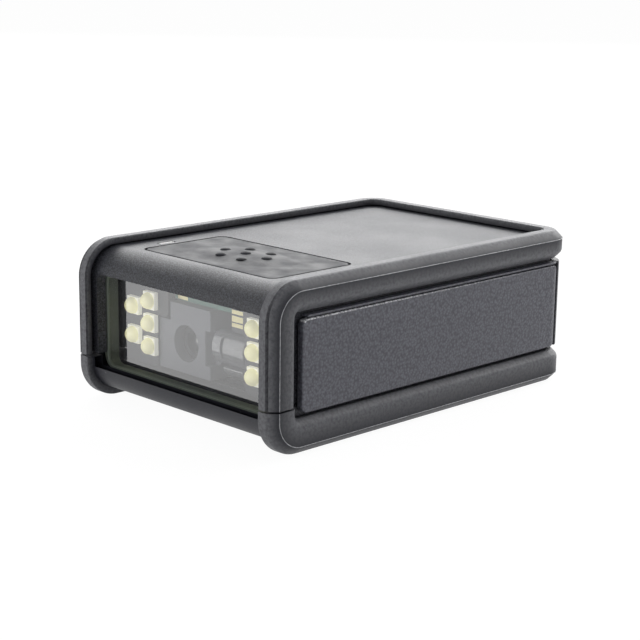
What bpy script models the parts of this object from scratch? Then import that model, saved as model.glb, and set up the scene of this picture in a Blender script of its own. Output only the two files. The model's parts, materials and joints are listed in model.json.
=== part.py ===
"""Compact fixed-mount area-imaging barcode reader.

Two hard plastic housings close on each other at a seam. Soft bumper rails wrap their edges: an upper
rail runs up the front corner, back along the top edge, round the rear and down the other front corner, and
a lower rail does the same below and carries the bar under the window. The trigger key in the top presses
a switch.
Origin at the centre of the base, +Z up, window facing -Y.
"""

import math

import bmesh
import bpy
from mathutils import Matrix, Vector

MM = 0.001

# Overall size
WIDTH = 46.0 * MM
DEPTH = 68.0 * MM
HEIGHT = 25.5 * MM
# Clearance left between pieces that seat on each other
SEAT = 0.25 * MM

# Bumper rails: the section runs from the crest inwards
LOOP_RADIUS = 5.8 * MM  # crest, where a rail turns at the front, seen from the side
PLAN_RADIUS = 4.8 * MM  # outer face, round the rear corners, seen from above
LIP_WIDTH = 3.1 * MM  # outer face to the inner edge of the lip
LEG_WIDTH = 1.6 * MM  # outer face to the housing side
CREST_CHAMFER = 1.3 * MM
CREST_FILLET = 0.3 * MM
UPPER_FACE = 2.7 * MM  # flat outer face of each rail
LOWER_FACE = 2.95 * MM
UPPER_UNDERCUT = 0.65 * MM  # chamfer where the outer face turns in to the groove
LOWER_UNDERCUT = 1.1 * MM
TOP_PROUD = 1.25 * MM  # how far the rails stand out from the housing, on top, in front and below
FRONT_PROUD = 1.85 * MM
BAR_PROUD = 1.1 * MM
BASE_PROUD = 1.5 * MM
SEAM_HEIGHT = 7.25 * MM
SEAM_GAP = 0.3 * MM

# Housings
WALL = 1.6 * MM
FLOOR = 1.8 * MM
BROW_RADIUS = 4.6 * MM
BAR_RADIUS = 5.0 * MM
BAR_WALL = 1.6 * MM
BAR_TONGUE = 1.4 * MM  # how far the bar runs on, flat, under the lower housing
FRONT_WALL = 1.7 * MM

# Window
WINDOW_HALF = 19.5 * MM
WINDOW_LOW = 5.4 * MM
WINDOW_HEADROOM = 5.2 * MM  # top of the opening to the top of the case
WINDOW_RADIUS = 1.3 * MM
WINDOW_LAP = 0.8 * MM  # gasket past the opening, at the sides and the top
WINDOW_BOTTOM_LAP = 0.6 * MM
GASKET_DEPTH = 2.15 * MM
GASKET_WALL = 0.9 * MM
PANE_SETBACK = 0.2 * MM  # front of the gasket to the front of the pane that it holds
PANE_THICK = 0.6 * MM
RIM_GAP = 0.45 * MM  # gasket to the carrier's rim
RIM_STEP = 0.85 * MM  # how far the rim stands in front of the LED boards
RIM_SILL = 0.85 * MM
RIM_HEAD = 0.6 * MM

# Side pads and rear panel
PAD_LOWER_GROOVE = 0.7 * MM  # between the pad and the lower rail
PAD_UPPER_GROOVE = 0.5 * MM
PAD_INSET = 0.35 * MM  # below the outer face of the rails
PAD_RADIUS = 1.5 * MM
PAD_REAR_RADIUS = 0.9 * MM
PAD_FRONT_GROOVE = 1.5 * MM  # between the front rail and the pad
PAD_REAR_GROOVE = 0.35 * MM
PAD_WRAP = 18.0  # degrees that the pad carries on round the rear corner
PAD_ROUND = 0.45 * MM

# Trigger key
KEY_WIDTH = 29.8 * MM
KEY_LENGTH = 16.7 * MM
KEY_SETBACK = 15.65 * MM  # front of the case to the middle of the key
KEY_RADIUS = 1.4 * MM
KEY_CLEARANCE = 0.25 * MM
KEY_DEPTH = 2.6 * MM
KEY_FLANGE = 1.1 * MM
KEY_FLANGE_HALF = 12.0 * MM
KEY_TRAVEL = 0.4 * MM
MOUND_HALF_WIDTH = 10.0 * MM
MOUND_HALF_LENGTH = 5.2 * MM
MOUND_RISE = 0.45 * MM
MOUND_CENTRE_DEPTH = 3.3 * MM  # top of the key to the middle of the ellipsoid that the mound is part of
MOUND_ROOT = 0.3 * MM  # how far the mound's base is sunk in the key
BUMP_RADIUS = 0.8 * MM
BUMP_RISE = 0.35 * MM
BUMP_PITCH_X = 4.7 * MM
BUMP_PITCH_Y = 3.0 * MM
STEM_RADIUS = 1.5 * MM
STEM_LENGTH = 0.4 * MM

# Switch and status light on the key board
SWITCH_SIDE = 6.0 * MM
SWITCH_HEIGHT = 1.7 * MM
PLUNGER_RADIUS = 1.3 * MM
PLUNGER_REACH = 0.75 * MM  # how far it stands out of the switch
KEY_BOARD_LENGTH = 6.5 * MM
KEY_BOARD_HALF = 18.6 * MM
LIGHT_X = -16.5 * MM
LIGHT_SETBACK = 13.5 * MM
LIGHT_WIDTH = 0.8 * MM
LIGHT_LENGTH = 2.6 * MM
LAMP_WIDTH = 1.6 * MM
LAMP_LENGTH = 1.0 * MM
LAMP_HEIGHT = 0.6 * MM

# Boards. Each LED board has a tab at its upper inner corner.
BOARD = 1.0 * MM
LED_BOARD_OUTER = 19.3 * MM
LED_BOARD_DROP = 0.9 * MM  # top of the window to the top of the LED boards
LED_BOARD_RADIUS = 0.8 * MM
LEFT_BOARD_INNER = 11.2 * MM
LEFT_TAB_INNER = 8.6 * MM
LEFT_TAB_LOW = 14.3 * MM
RIGHT_BOARD_INNER = 9.2 * MM
RIGHT_TAB_INNER = 6.2 * MM
RIGHT_TAB_LOW = 14.9 * MM
LED_BODY = 2.8 * MM
LED_BODY_DEPTH = 0.8 * MM
LED_DOME_RADIUS = 1.33 * MM
LED_DOME_RISE = 1.3 * MM
LED_INNER_X = 12.1 * MM
LED_OUTER_X = 16.1 * MM
LED_INNER_ROWS = (16.6 * MM, 13.0 * MM, 9.3 * MM)
LED_OUTER_ROWS = (15.2 * MM, 10.5 * MM)
MAIN_BOARD_HALF = 17.6 * MM
MAIN_BOARD_SETBACK = 23.0 * MM
MAIN_BOARD_HEIGHT = 6.1 * MM
STANDOFF_RADIUS = 1.6 * MM
STANDOFF_X = 11.6 * MM
STANDOFF_FRONT = 9.0 * MM  # from the front edge of the main board
STANDOFF_REAR = 8.0 * MM  # from the housing's rear wall

# Parts on the main board. Setbacks are from its front edge.
SHIELD_HALF = 9.0 * MM
SHIELD_SETBACK = 8.0 * MM
SHIELD_CLEARANCE = 7.15 * MM  # to the interface socket
SHIELD_HEIGHT = 2.2 * MM
BEEPER_X = 12.5 * MM
BEEPER_SETBACK = 15.0 * MM
BEEPER_RADIUS = 3.2 * MM
BEEPER_HEIGHT = 3.0 * MM
CONNECTOR_HALF = 7.0 * MM
CONNECTOR_SETBACK = 1.5 * MM
CONNECTOR_LENGTH = 3.5 * MM
CONNECTOR_HEIGHT = 1.6 * MM
FLEX_HALF = 4.0 * MM
FLEX_THICK = 0.3 * MM
FLEX_REACH = 4.5 * MM
FLEX_RISE = 2.8 * MM  # above the connector, up the back of the sensor board

# Carrier plate and imaging engine, seen from the front
CARRIER_THICK = 1.2 * MM
CARRIER_HEAD = 1.2 * MM
ENGINE_LEFT = -8.35 * MM
ENGINE_RIGHT = 8.9 * MM
ENGINE_LOW = 6.1 * MM
ENGINE_HIGH = 17.0 * MM
ENGINE_DEPTH = 12.5 * MM
ENGINE_BOARD_HEIGHT = 1.6 * MM
FLANGE_LEFT = -10.95 * MM  # lower left part of the front plate, beside the LED board's tab
FLANGE_HIGH = 14.05 * MM
PLATE_RIGHT = 1.1 * MM
NOTCH_WIDTH = 1.2 * MM
NOTCH_LOW = 8.3 * MM
NOTCH_HIGH = 13.75 * MM
NOTCH_DEPTH = 2.0 * MM
LENS_X = -4.6 * MM
LENS_Z = 10.9 * MM
LENS_HOLE_RADIUS = 2.9 * MM
LENS_BORE_WALL = 1.5 * MM
BARREL_SETBACK = 1.6 * MM
LENS_RADIUS = 1.5 * MM
LENS_SETBACK = 1.0 * MM  # from the front of the barrel
LENS_THICK = 1.1 * MM
LENS_BULGE = 0.5 * MM
AIMER_LEFT = 1.4 * MM
AIMER_RIGHT = 8.4 * MM
AIMER_LOW = 9.1 * MM
AIMER_HIGH = 14.1 * MM
AIMER_DEPTH = 6.5 * MM
AIMER_BULGE = 1.2 * MM
AIMER_SLOT_INSET = 1.8 * MM
AIMER_SLOT_WIDTH = 0.6 * MM
AIMER_SLOT_HALF = 1.7 * MM
AIMER_SLOT_DEPTH = 2.4 * MM
FOOT_LEFT = 3.6 * MM
FOOT_RIGHT = 8.0 * MM
FOOT_SETBACK = 0.3 * MM
FOOT_RADIUS = 1.7 * MM

# Fasteners and sockets
SCREW_X = 16.5 * MM
SCREW_SETBACK = 26.5 * MM
SCREW_REAR_INSET = 7.5 * MM
SCREW_HEAD_RADIUS = 2.0 * MM
SCREW_HEAD_HEIGHT = 1.2 * MM
SCREW_RADIUS = 1.0 * MM
SCREW_LENGTH = 11.0 * MM
HEX_RADIUS = 0.9 * MM
HEX_DEPTH = 0.7 * MM
BOSS_RADIUS = 2.5 * MM
INSERT_X = 12.0 * MM
INSERT_Y = 8.0 * MM
INSERT_RADIUS = 2.1 * MM
INSERT_BORE = 1.25 * MM
INSERT_LENGTH = 3.6 * MM
INSERT_BOSS_WALL = 1.0 * MM
SOCKET_WIDTH = 14.0 * MM
SOCKET_HEIGHT = 9.4 * MM
SOCKET_DEPTH = 13.0 * MM
SOCKET_MOUTH_WIDTH = 11.6 * MM
SOCKET_MOUTH_HEIGHT = 6.8 * MM
SOCKET_MOUTH_DEPTH = 11.0 * MM

# Planes and walls that follow from the sizes above
FRONT = -DEPTH / 2
REAR = DEPTH / 2
SIDE = WIDTH / 2
HOUSING_SIDE = SIDE - LEG_WIDTH - SEAT
HOUSING_REAR = REAR - LEG_WIDTH - SEAT
HOUSING_TOP = HEIGHT - TOP_PROUD
HOUSING_FRONT = FRONT + FRONT_PROUD
HOUSING_CORNER = PLAN_RADIUS - LEG_WIDTH - SEAT
BAR_FRONT = FRONT + BAR_PROUD
BAR_BACK = BAR_FRONT + BAR_WALL
UPPER_START = SEAM_HEIGHT + SEAM_GAP / 2
LOWER_END = SEAM_HEIGHT - SEAM_GAP / 2
CEILING = HOUSING_TOP - WALL
BASE = BASE_PROUD
INNER_FLOOR = BASE + FLOOR
INNER_SIDE = HOUSING_SIDE - WALL
INNER_REAR = HOUSING_REAR - WALL
GASKET_FRONT = HOUSING_FRONT + FRONT_WALL + SEAT
GASKET_BACK = GASKET_FRONT + GASKET_DEPTH
PANE_FRONT = GASKET_FRONT + PANE_SETBACK
RIM_FRONT = GASKET_BACK + RIM_GAP
LED_BOARD_FRONT = RIM_FRONT + RIM_STEP
LED_BACK = LED_BOARD_FRONT - SEAT
CARRIER_FRONT = LED_BOARD_FRONT + BOARD + SEAT
CARRIER_BACK = CARRIER_FRONT + CARRIER_THICK
WINDOW_HIGH = HEIGHT - WINDOW_HEADROOM
FRONT_FLOOR = WINDOW_LOW - WINDOW_BOTTOM_LAP - SEAT
POCKET_SIDE = WINDOW_HALF + WINDOW_LAP + SEAT
POCKET_TOP = WINDOW_HIGH + WINDOW_LAP + SEAT
LED_BOARD_LOW = FRONT_FLOOR + RIM_SILL + 2 * SEAT
LED_BOARD_HIGH = WINDOW_HIGH - LED_BOARD_DROP
PAD_LOW = CREST_CHAMFER + LOWER_FACE + LOWER_UNDERCUT + PAD_LOWER_GROOVE
PAD_HIGH = HEIGHT - CREST_CHAMFER - UPPER_FACE - UPPER_UNDERCUT - PAD_UPPER_GROOVE
PAD_OUTER = SIDE - PAD_INSET
PAD_INNER = HOUSING_SIDE + SEAT
KEY_CENTRE_Y = FRONT + KEY_SETBACK
LIGHT_Y = FRONT + LIGHT_SETBACK
KEY_BOTTOM = HOUSING_TOP - KEY_DEPTH
KEY_POCKET_FRONT = KEY_CENTRE_Y - KEY_LENGTH / 2 - KEY_FLANGE - 2 * KEY_CLEARANCE
STEM_BOTTOM = KEY_BOTTOM - STEM_LENGTH
PLUNGER_TOP = STEM_BOTTOM - SEAT
SWITCH_TOP = PLUNGER_TOP - PLUNGER_REACH
SWITCH_BOTTOM = SWITCH_TOP - SWITCH_HEIGHT
KEY_BOARD_TOP = SWITCH_BOTTOM - SEAT
KEY_BOARD_LOW = KEY_BOARD_TOP - BOARD
MAIN_BOARD_FRONT = FRONT + MAIN_BOARD_SETBACK
MAIN_BOARD_TOP = MAIN_BOARD_HEIGHT + BOARD
CONNECTOR_TOP = MAIN_BOARD_TOP + SEAT + CONNECTOR_HEIGHT
ENGINE_FRONT = LED_BOARD_FRONT + SEAT
ENGINE_BACK = ENGINE_FRONT + ENGINE_DEPTH
AIMER_BACK = ENGINE_FRONT + AIMER_DEPTH
SCREW_FRONT_Y = FRONT + SCREW_SETBACK
SCREW_REAR_Y = REAR - SCREW_REAR_INSET
SOCKET_BACK = REAR - PAD_INSET - 2 * SEAT
SOCKET_FRONT = SOCKET_BACK - SOCKET_DEPTH
SOCKET_LOW = MAIN_BOARD_TOP + SEAT
RIB_HALF = 1.2 * MM
RIB_REACH = INNER_SIDE - KEY_BOARD_HALF + 1.3 * MM


def clear_scene():
    for thing in list(bpy.data.objects):
        bpy.data.objects.remove(thing, do_unlink=True)


def material(name, colour, roughness, metallic=0.0, alpha=1.0):
    made = bpy.data.materials.new(name)
    made.use_nodes = True
    shader = made.node_tree.nodes["Principled BSDF"]
    shader.inputs["Base Color"].default_value = (*colour, 1.0)
    shader.inputs["Roughness"].default_value = roughness
    shader.inputs["Metallic"].default_value = metallic
    shader.inputs["Alpha"].default_value = alpha
    made.diffuse_color = (*colour, alpha)
    return made


def add_object(name, bm, finish):
    """Closes off a bmesh as a named object whose place is in its mesh."""
    bmesh.ops.recalc_face_normals(bm, faces=bm.faces)
    mesh = bpy.data.meshes.new(name)
    bm.to_mesh(mesh)
    bm.free()
    mesh.shade_smooth()
    mesh.set_sharp_from_angle(angle=math.radians(30))
    made = bpy.data.objects.new(name, mesh)
    made.data.materials.append(finish)
    bpy.context.scene.collection.objects.link(made)
    return made


def tool(target, bm, operation, label):
    """A hidden solid that is cut from, or joined to, the target."""
    helper = add_object(f"{target.name}_{label}", bm, target.data.materials[0])
    helper.hide_render = True
    helper.display_type = "WIRE"
    change = target.modifiers.new(label, "BOOLEAN")
    change.operation = operation
    change.object = helper


def cut(target, bm, label):
    tool(target, bm, "DIFFERENCE", label)


def fuse(target, bm, label):
    tool(target, bm, "UNION", label)


def arc(centre, radius, start, end, steps):
    """Points on an arc, in degrees, both ends included."""
    angles = [math.radians(start + (end - start) * i / steps) for i in range(steps + 1)]
    return [(centre[0] + radius * math.cos(a), centre[1] + radius * math.sin(a)) for a in angles]


def rounded(low, high, radius, steps=4):
    """A rectangle with round corners, anticlockwise from its lower left one."""
    (x0, y0), (x1, y1) = low, high
    points = arc((x0 + radius, y0 + radius), radius, 180, 270, steps)
    points += arc((x1 - radius, y0 + radius), radius, 270, 360, steps)
    points += arc((x1 - radius, y1 - radius), radius, 0, 90, steps)
    points += arc((x0 + radius, y1 - radius), radius, 90, 180, steps)
    return points


PLACES = {
    "X": lambda a, b, along: (along, a, b),
    "Y": lambda a, b, along: (a, along, b),
    "Z": lambda a, b, along: (a, b, along),
}
DIRECTIONS = {"X": Vector((1, 0, 0)), "Y": Vector((0, 1, 0)), "Z": Vector((0, 0, 1))}


def extend(bm, face, matrix):
    """Extrudes a face, moves its copy by the matrix and returns the copy.

    The first face stays as the solid's start cap, and one between two stretches is removed.
    """
    between = len(face.edges[0].link_faces) > 1
    grown = bmesh.ops.extrude_face_region(bm, geom=[face])["geom"]
    cap = next(item for item in grown if isinstance(item, bmesh.types.BMFace))
    bmesh.ops.transform(bm, matrix=matrix, verts=cap.verts)
    if between:
        bmesh.ops.delete(bm, geom=[face], context="FACES_ONLY")
    return cap


def add_prism(bm, outline, axis, start, end):
    """An outline in the plane across an axis, extruded from start to end along it."""
    place = PLACES[axis]
    face = bm.faces.new([bm.verts.new(place(a, b, start)) for a, b in outline])
    extend(bm, face, Matrix.Translation(DIRECTIONS[axis] * (end - start)))
    return bm


def prism(outline, axis, start, end):
    return add_prism(bmesh.new(), outline, axis, start, end)


def rectangle(low, high):
    return [low, (high[0], low[1]), high, (low[0], high[1])]


def box(low, high):
    return prism(rectangle(low[:2], high[:2]), "Z", low[2], high[2])


def cylinder(centre, radius, axis, start, end, sides=24):
    return prism(arc(centre, radius, 0, 360 - 360 / sides, sides - 1), axis, start, end)


def about(pivot, angle, axis):
    """A turn in degrees about a line through the pivot."""
    spin = Matrix.Rotation(math.radians(angle), 4, axis)
    return Matrix.Translation(pivot) @ spin @ Matrix.Translation(-pivot)


def rail(face_length, undercut, proud, rises):
    """A bumper rail, swept as one section from the seam of one front post to the seam of the other.

    The section is given by its distance in from the outer face and from the crest. The lip laps over the
    housing's face, and the leg stands against its side.
    """
    lip = proud - SEAT
    full = CREST_CHAMFER + face_length + undercut
    fillet = arc((LIP_WIDTH - CREST_FILLET, CREST_FILLET), CREST_FILLET, -90, 0, 3)
    section = [(CREST_CHAMFER, 0)] + fillet + [(LIP_WIDTH, lip), (LEG_WIDTH, lip), (LEG_WIDTH, full)]
    section += [(undercut, full), (0, full - undercut), (0, CREST_CHAMFER)]

    up = 1 if rises else -1
    crest = HEIGHT if rises else 0.0
    start = UPPER_START if rises else LOWER_END
    turn_height = crest - up * LOOP_RADIUS
    climb = Matrix.Translation((0, 0, turn_height - start))
    front_pivot = Vector((0, FRONT + LOOP_RADIUS, turn_height))
    corner_x = SIDE - PLAN_RADIUS
    corner_y = REAR - PLAN_RADIUS
    run = corner_y - front_pivot.y
    loop_steps = 12
    plan_steps = 10

    bm = bmesh.new()
    face = bm.faces.new([bm.verts.new((SIDE - across, FRONT + depth, start)) for across, depth in section])
    face = extend(bm, face, climb)
    for _ in range(loop_steps):
        face = extend(bm, face, about(front_pivot, -up * 90 / loop_steps, "X"))
    face = extend(bm, face, Matrix.Translation((0, run, 0)))
    for _ in range(plan_steps):
        face = extend(bm, face, about(Vector((corner_x, corner_y, 0)), 90 / plan_steps, "Z"))
    face = extend(bm, face, Matrix.Translation((-2 * corner_x, 0, 0)))
    for _ in range(plan_steps):
        face = extend(bm, face, about(Vector((-corner_x, corner_y, 0)), 90 / plan_steps, "Z"))
    face = extend(bm, face, Matrix.Translation((0, -run, 0)))
    for _ in range(loop_steps):
        face = extend(bm, face, about(front_pivot, up * 90 / loop_steps, "X"))
    extend(bm, face, climb.inverted())
    return bm


def window_outline(grow=0.0, bottom=None):
    low = WINDOW_LOW - grow if bottom is None else bottom
    side = WINDOW_HALF + grow
    return rounded((-side, low), (side, WINDOW_HIGH + grow), WINDOW_RADIUS + grow)


def bumpers(finish):
    add_object("upper_bumper", rail(UPPER_FACE, UPPER_UNDERCUT, TOP_PROUD, True), finish)
    lower = add_object("lower_bumper", rail(LOWER_FACE, LOWER_UNDERCUT, BASE_PROUD, False), finish)
    centre = (BAR_FRONT + BAR_RADIUS, BASE + BAR_RADIUS)
    tongue = centre[0] + BAR_TONGUE
    top = LOWER_END - 0.1 * MM
    bar = [(BAR_FRONT, top)] + arc(centre, BAR_RADIUS, 180, 270, 16) + [(tongue, BASE)]
    bar += [(tongue, BASE + BAR_WALL)] + arc(centre, BAR_RADIUS - BAR_WALL, 270, 180, 16)
    bar += [(BAR_BACK, top)]
    reach = SIDE - LEG_WIDTH / 2
    fuse(lower, prism(bar, "X", -reach, reach), "window_bar")
    cut(lower, prism(window_outline(), "Y", FRONT - 1 * MM, GASKET_BACK), "window_opening")


def shell_plan(inset=0.0):
    """The housings' outline seen from above, with round rear corners."""
    side, rear, corner = HOUSING_SIDE - inset, HOUSING_REAR - inset, HOUSING_CORNER - inset
    points = [(-side, HOUSING_FRONT - 5 * MM), (side, HOUSING_FRONT - 5 * MM)]
    points += arc((side - corner, rear - corner), corner, 0, 90, 5)
    points += arc((-side + corner, rear - corner), corner, 90, 180, 5)
    return points


def boss_places():
    return [(x, y) for y in (SCREW_FRONT_Y, SCREW_REAR_Y) for x in (-SCREW_X, SCREW_X)]


def key_outline(grow=0.0):
    half = Vector((KEY_WIDTH / 2 + grow, KEY_LENGTH / 2 + grow))
    low = (-half.x, KEY_CENTRE_Y - half.y)
    return rounded(low, (half.x, KEY_CENTRE_Y + half.y), KEY_RADIUS + grow)


def light_outline(grow=0.0):
    half = (LIGHT_WIDTH / 2 + grow, LIGHT_LENGTH / 2 + grow)
    return rectangle((LIGHT_X - half[0], LIGHT_Y - half[1]), (LIGHT_X + half[0], LIGHT_Y + half[1]))


def socket_outline(grow):
    half = SOCKET_WIDTH / 2 + grow
    return rectangle((-half, SOCKET_LOW - grow), (half, SOCKET_LOW + SOCKET_HEIGHT + grow))


def upper_housing(finish):
    """Top, brow, sides and rear in one moulding, open below."""
    brow = (HOUSING_FRONT + BROW_RADIUS, HOUSING_TOP - BROW_RADIUS)
    profile = [(HOUSING_FRONT, UPPER_START)] + arc(brow, BROW_RADIUS, 180, 90, 18)
    profile += [(HOUSING_REAR + 5 * MM, HOUSING_TOP), (HOUSING_REAR + 5 * MM, UPPER_START)]
    shell = add_object("upper_housing", prism(profile, "X", -HOUSING_SIDE, HOUSING_SIDE), finish)
    trim = shell.modifiers.new("plan", "BOOLEAN")
    trim.operation = "INTERSECT"
    trim.object = add_object("upper_housing_plan", prism(shell_plan(), "Z", 0, HEIGHT * 2), finish)
    trim.object.hide_render = True
    trim.object.display_type = "WIRE"

    below = UPPER_START - 2 * MM
    inner = rounded((-INNER_SIDE, KEY_POCKET_FRONT), (INNER_SIDE, INNER_REAR), HOUSING_CORNER - WALL)
    cut(shell, prism(inner, "Z", below, CEILING), "cavity")
    pocket = rectangle((GASKET_FRONT - SEAT, below), (CARRIER_BACK + SEAT, POCKET_TOP))
    cut(shell, prism(pocket, "X", -POCKET_SIDE, POCKET_SIDE), "window_pocket")
    cut(shell, prism(window_outline(), "Y", FRONT - 1 * MM, GASKET_FRONT), "window_opening")
    cut(shell, prism(key_outline(KEY_CLEARANCE), "Z", CEILING - 2 * MM, HEIGHT), "key_opening")
    cut(shell, prism(light_outline(SEAT), "Z", CEILING - 2 * MM, HEIGHT), "light_slot")
    cut(shell, prism(socket_outline(SEAT), "Y", INNER_REAR - 2 * MM, REAR + 1 * MM), "socket_opening")
    for number, (x, y) in enumerate(boss_places()):
        fuse(shell, cylinder((x, y), BOSS_RADIUS, "Z", UPPER_START, CEILING + WALL / 2), f"boss_{number}")
        top = BASE + SCREW_HEAD_HEIGHT + SCREW_LENGTH + 1 * MM
        cut(shell, cylinder((x, y), SCREW_RADIUS + SEAT, "Z", below, top, 16), f"pilot_{number}")
    for number, side in enumerate((-1, 1)):
        ends = sorted((side * (INNER_SIDE + WALL / 2), side * (INNER_SIDE - RIB_REACH)))
        low = (ends[0], KEY_CENTRE_Y - RIB_HALF, KEY_BOARD_TOP + SEAT)
        fuse(shell, box(low, (ends[1], KEY_CENTRE_Y + RIB_HALF, CEILING + WALL / 2)), f"rib_{number}")


def lower_housing(finish):
    """Shallow tray under the upper housing. Its front edge laps over the tongue of the window bar."""
    front = BAR_FRONT + BAR_RADIUS
    lap = front + BAR_TONGUE + SEAT
    lap_height = BASE + BAR_WALL + SEAT
    rear = HOUSING_REAR + 5 * MM
    profile = [(front, lap_height), (lap, lap_height), (lap, BASE)]
    profile += [(rear, BASE), (rear, LOWER_END), (front, LOWER_END)]
    tray = add_object("lower_housing", prism(profile, "X", -HOUSING_SIDE, HOUSING_SIDE), finish)
    trim = tray.modifiers.new("plan", "BOOLEAN")
    trim.operation = "INTERSECT"
    trim.object = add_object("lower_housing_plan", prism(shell_plan(), "Z", -1 * MM, HEIGHT), finish)
    trim.object.hide_render = True
    trim.object.display_type = "WIRE"

    step = lap + WALL
    inner = rounded((-INNER_SIDE, step), (INNER_SIDE, INNER_REAR), HOUSING_CORNER - WALL)
    cut(tray, prism(inner, "Z", INNER_FLOOR, HEIGHT), "cavity")
    shelf = rectangle((front - 1 * MM, FRONT_FLOOR), (step + 1 * MM, HEIGHT))
    cut(tray, prism(shelf, "X", -POCKET_SIDE, POCKET_SIDE), "window_shelf")
    for number, (x, y) in enumerate(boss_places()):
        fuse(tray, cylinder((x, y), BOSS_RADIUS, "Z", BASE + FLOOR / 2, LOWER_END), f"boss_{number}")
        cut(tray, cylinder((x, y), SCREW_RADIUS + SEAT, "Z", 0, HEIGHT, 16), f"screw_hole_{number}")
        head = cylinder((x, y), SCREW_HEAD_RADIUS + SEAT, "Z", 0, BASE + SCREW_HEAD_HEIGHT + SEAT, 20)
        cut(tray, head, f"counterbore_{number}")
    for number, x in enumerate((-INSERT_X, INSERT_X)):
        centre = (x, INSERT_Y)
        top = BASE + INSERT_LENGTH + 2 * SEAT
        boss = cylinder(centre, INSERT_RADIUS + INSERT_BOSS_WALL, "Z", BASE + FLOOR / 2, top)
        fuse(tray, boss, f"insert_boss_{number}")
        hole = cylinder(centre, INSERT_RADIUS + SEAT, "Z", 0, HEIGHT, 20)
        cut(tray, hole, f"insert_hole_{number}")
    for number, (x, y) in enumerate(standoff_places()):
        post = cylinder((x, y), STANDOFF_RADIUS, "Z", BASE + FLOOR / 2, MAIN_BOARD_HEIGHT - SEAT, 16)
        fuse(tray, post, f"standoff_{number}")
    low = (ENGINE_LEFT + 2 * MM, ENGINE_FRONT + 4 * MM, BASE + FLOOR / 2)
    high = (ENGINE_RIGHT - 2 * MM, ENGINE_BACK - 2 * MM, ENGINE_LOW - SEAT)
    fuse(tray, box(low, high), "engine_cradle")


def standoff_places():
    rows = (MAIN_BOARD_FRONT + STANDOFF_FRONT, INNER_REAR - STANDOFF_REAR)
    return [(x, y) for y in rows for x in (-STANDOFF_X, STANDOFF_X)]


def pad_outline(front, rear):
    """A pad seen from the side, with tighter corners at its rear."""
    points = arc((front + PAD_RADIUS, PAD_LOW + PAD_RADIUS), PAD_RADIUS, 180, 270, 5)
    points += arc((rear - PAD_REAR_RADIUS, PAD_LOW + PAD_REAR_RADIUS), PAD_REAR_RADIUS, 270, 360, 5)
    points += arc((rear - PAD_REAR_RADIUS, PAD_HIGH - PAD_REAR_RADIUS), PAD_REAR_RADIUS, 0, 90, 5)
    points += arc((front + PAD_RADIUS, PAD_HIGH - PAD_RADIUS), PAD_RADIUS, 90, 180, 5)
    return points


def side_pads(finish):
    """Flat along the side, then bent a little way round the rear corner."""
    corner = Vector((SIDE - PLAN_RADIUS, REAR - PLAN_RADIUS))
    front = FRONT + CREST_CHAMFER + UPPER_FACE + UPPER_UNDERCUT + PAD_FRONT_GROOVE
    reach = PAD_OUTER - corner.x
    wrap = reach * math.radians(PAD_WRAP)
    outline = pad_outline(front, corner.y + wrap)
    for name, side in (("left_side_pad", -1), ("right_side_pad", 1)):
        bm = prism(outline, "X", side * PAD_INNER, side * PAD_OUTER)
        rim = [e for e in bm.edges if all(abs(abs(v.co.x) - PAD_OUTER) < 1e-6 for v in e.verts)]
        bmesh.ops.bevel(
            bm, geom=rim, offset=PAD_ROUND, segments=3, profile=0.5, affect="EDGES", material=-1
        )
        for step in range(4):
            everything = bm.verts[:] + bm.edges[:] + bm.faces[:]
            place = (0, corner.y + wrap * step / 4, 0)
            bmesh.ops.bisect_plane(bm, geom=everything, plane_co=place, plane_no=(0, 1, 0))
        for vert in bm.verts:
            angle = max(vert.co.y - corner.y, 0) / reach
            radius = abs(vert.co.x) - corner.x
            if angle > 0:
                vert.co.x = side * (corner.x + radius * math.cos(angle))
                vert.co.y = corner.y + radius * math.sin(angle)
        add_object(name, bm, finish)


def rear_panel(finish):
    """Flat across the rear, and wrapped round both vertical corners to meet the side pads."""
    corner_x, corner_y = SIDE - PLAN_RADIUS, REAR - PLAN_RADIUS
    outer, inner = PAD_OUTER - corner_x, PAD_INNER - corner_x
    start = PAD_WRAP + math.degrees(PAD_REAR_GROOVE / outer)
    right, left = (corner_x, corner_y), (-corner_x, corner_y)
    outline = arc(right, outer, start, 90, 8) + arc(left, outer, 90, 180 - start, 8)
    outline += arc(left, inner, 180 - start, 90, 8) + arc(right, inner, 90, start, 8)
    panel = add_object("rear_panel", prism(outline, "Z", PAD_LOW, PAD_HIGH), finish)
    cut(panel, prism(socket_outline(SEAT), "Y", INNER_REAR, REAR + 1 * MM), "socket_opening")


def gasket_opening(inset=0.0):
    side = WINDOW_HALF + WINDOW_LAP - GASKET_WALL - inset
    low = WINDOW_LOW - WINDOW_BOTTOM_LAP + GASKET_WALL / 2 + inset
    high = WINDOW_HIGH + WINDOW_LAP - GASKET_WALL - inset
    return rounded((-side, low), (side, high), WINDOW_RADIUS - inset)


def window(pane_finish, gasket_finish):
    """Foam gasket behind the front wall, with the pane held in its opening."""
    outline = window_outline(WINDOW_LAP, WINDOW_LOW - WINDOW_BOTTOM_LAP)
    gasket = add_object("window_gasket", prism(outline, "Y", GASKET_FRONT, GASKET_BACK), gasket_finish)
    opening = prism(gasket_opening(), "Y", GASKET_FRONT - 1 * MM, GASKET_BACK + 1 * MM)
    cut(gasket, opening, "opening")
    pane = prism(gasket_opening(SEAT), "Y", PANE_FRONT, PANE_FRONT + PANE_THICK)
    add_object("window_pane", pane, pane_finish)


def ellipsoid(bm, centre, radii, rings=10, segments=24):
    made = bmesh.ops.create_uvsphere(bm, u_segments=segments, v_segments=rings, radius=1.0)
    place = Matrix.Translation(centre) @ Matrix.Diagonal((*radii, 1.0))
    bmesh.ops.transform(bm, matrix=place, verts=made["verts"])
    return bm


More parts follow.
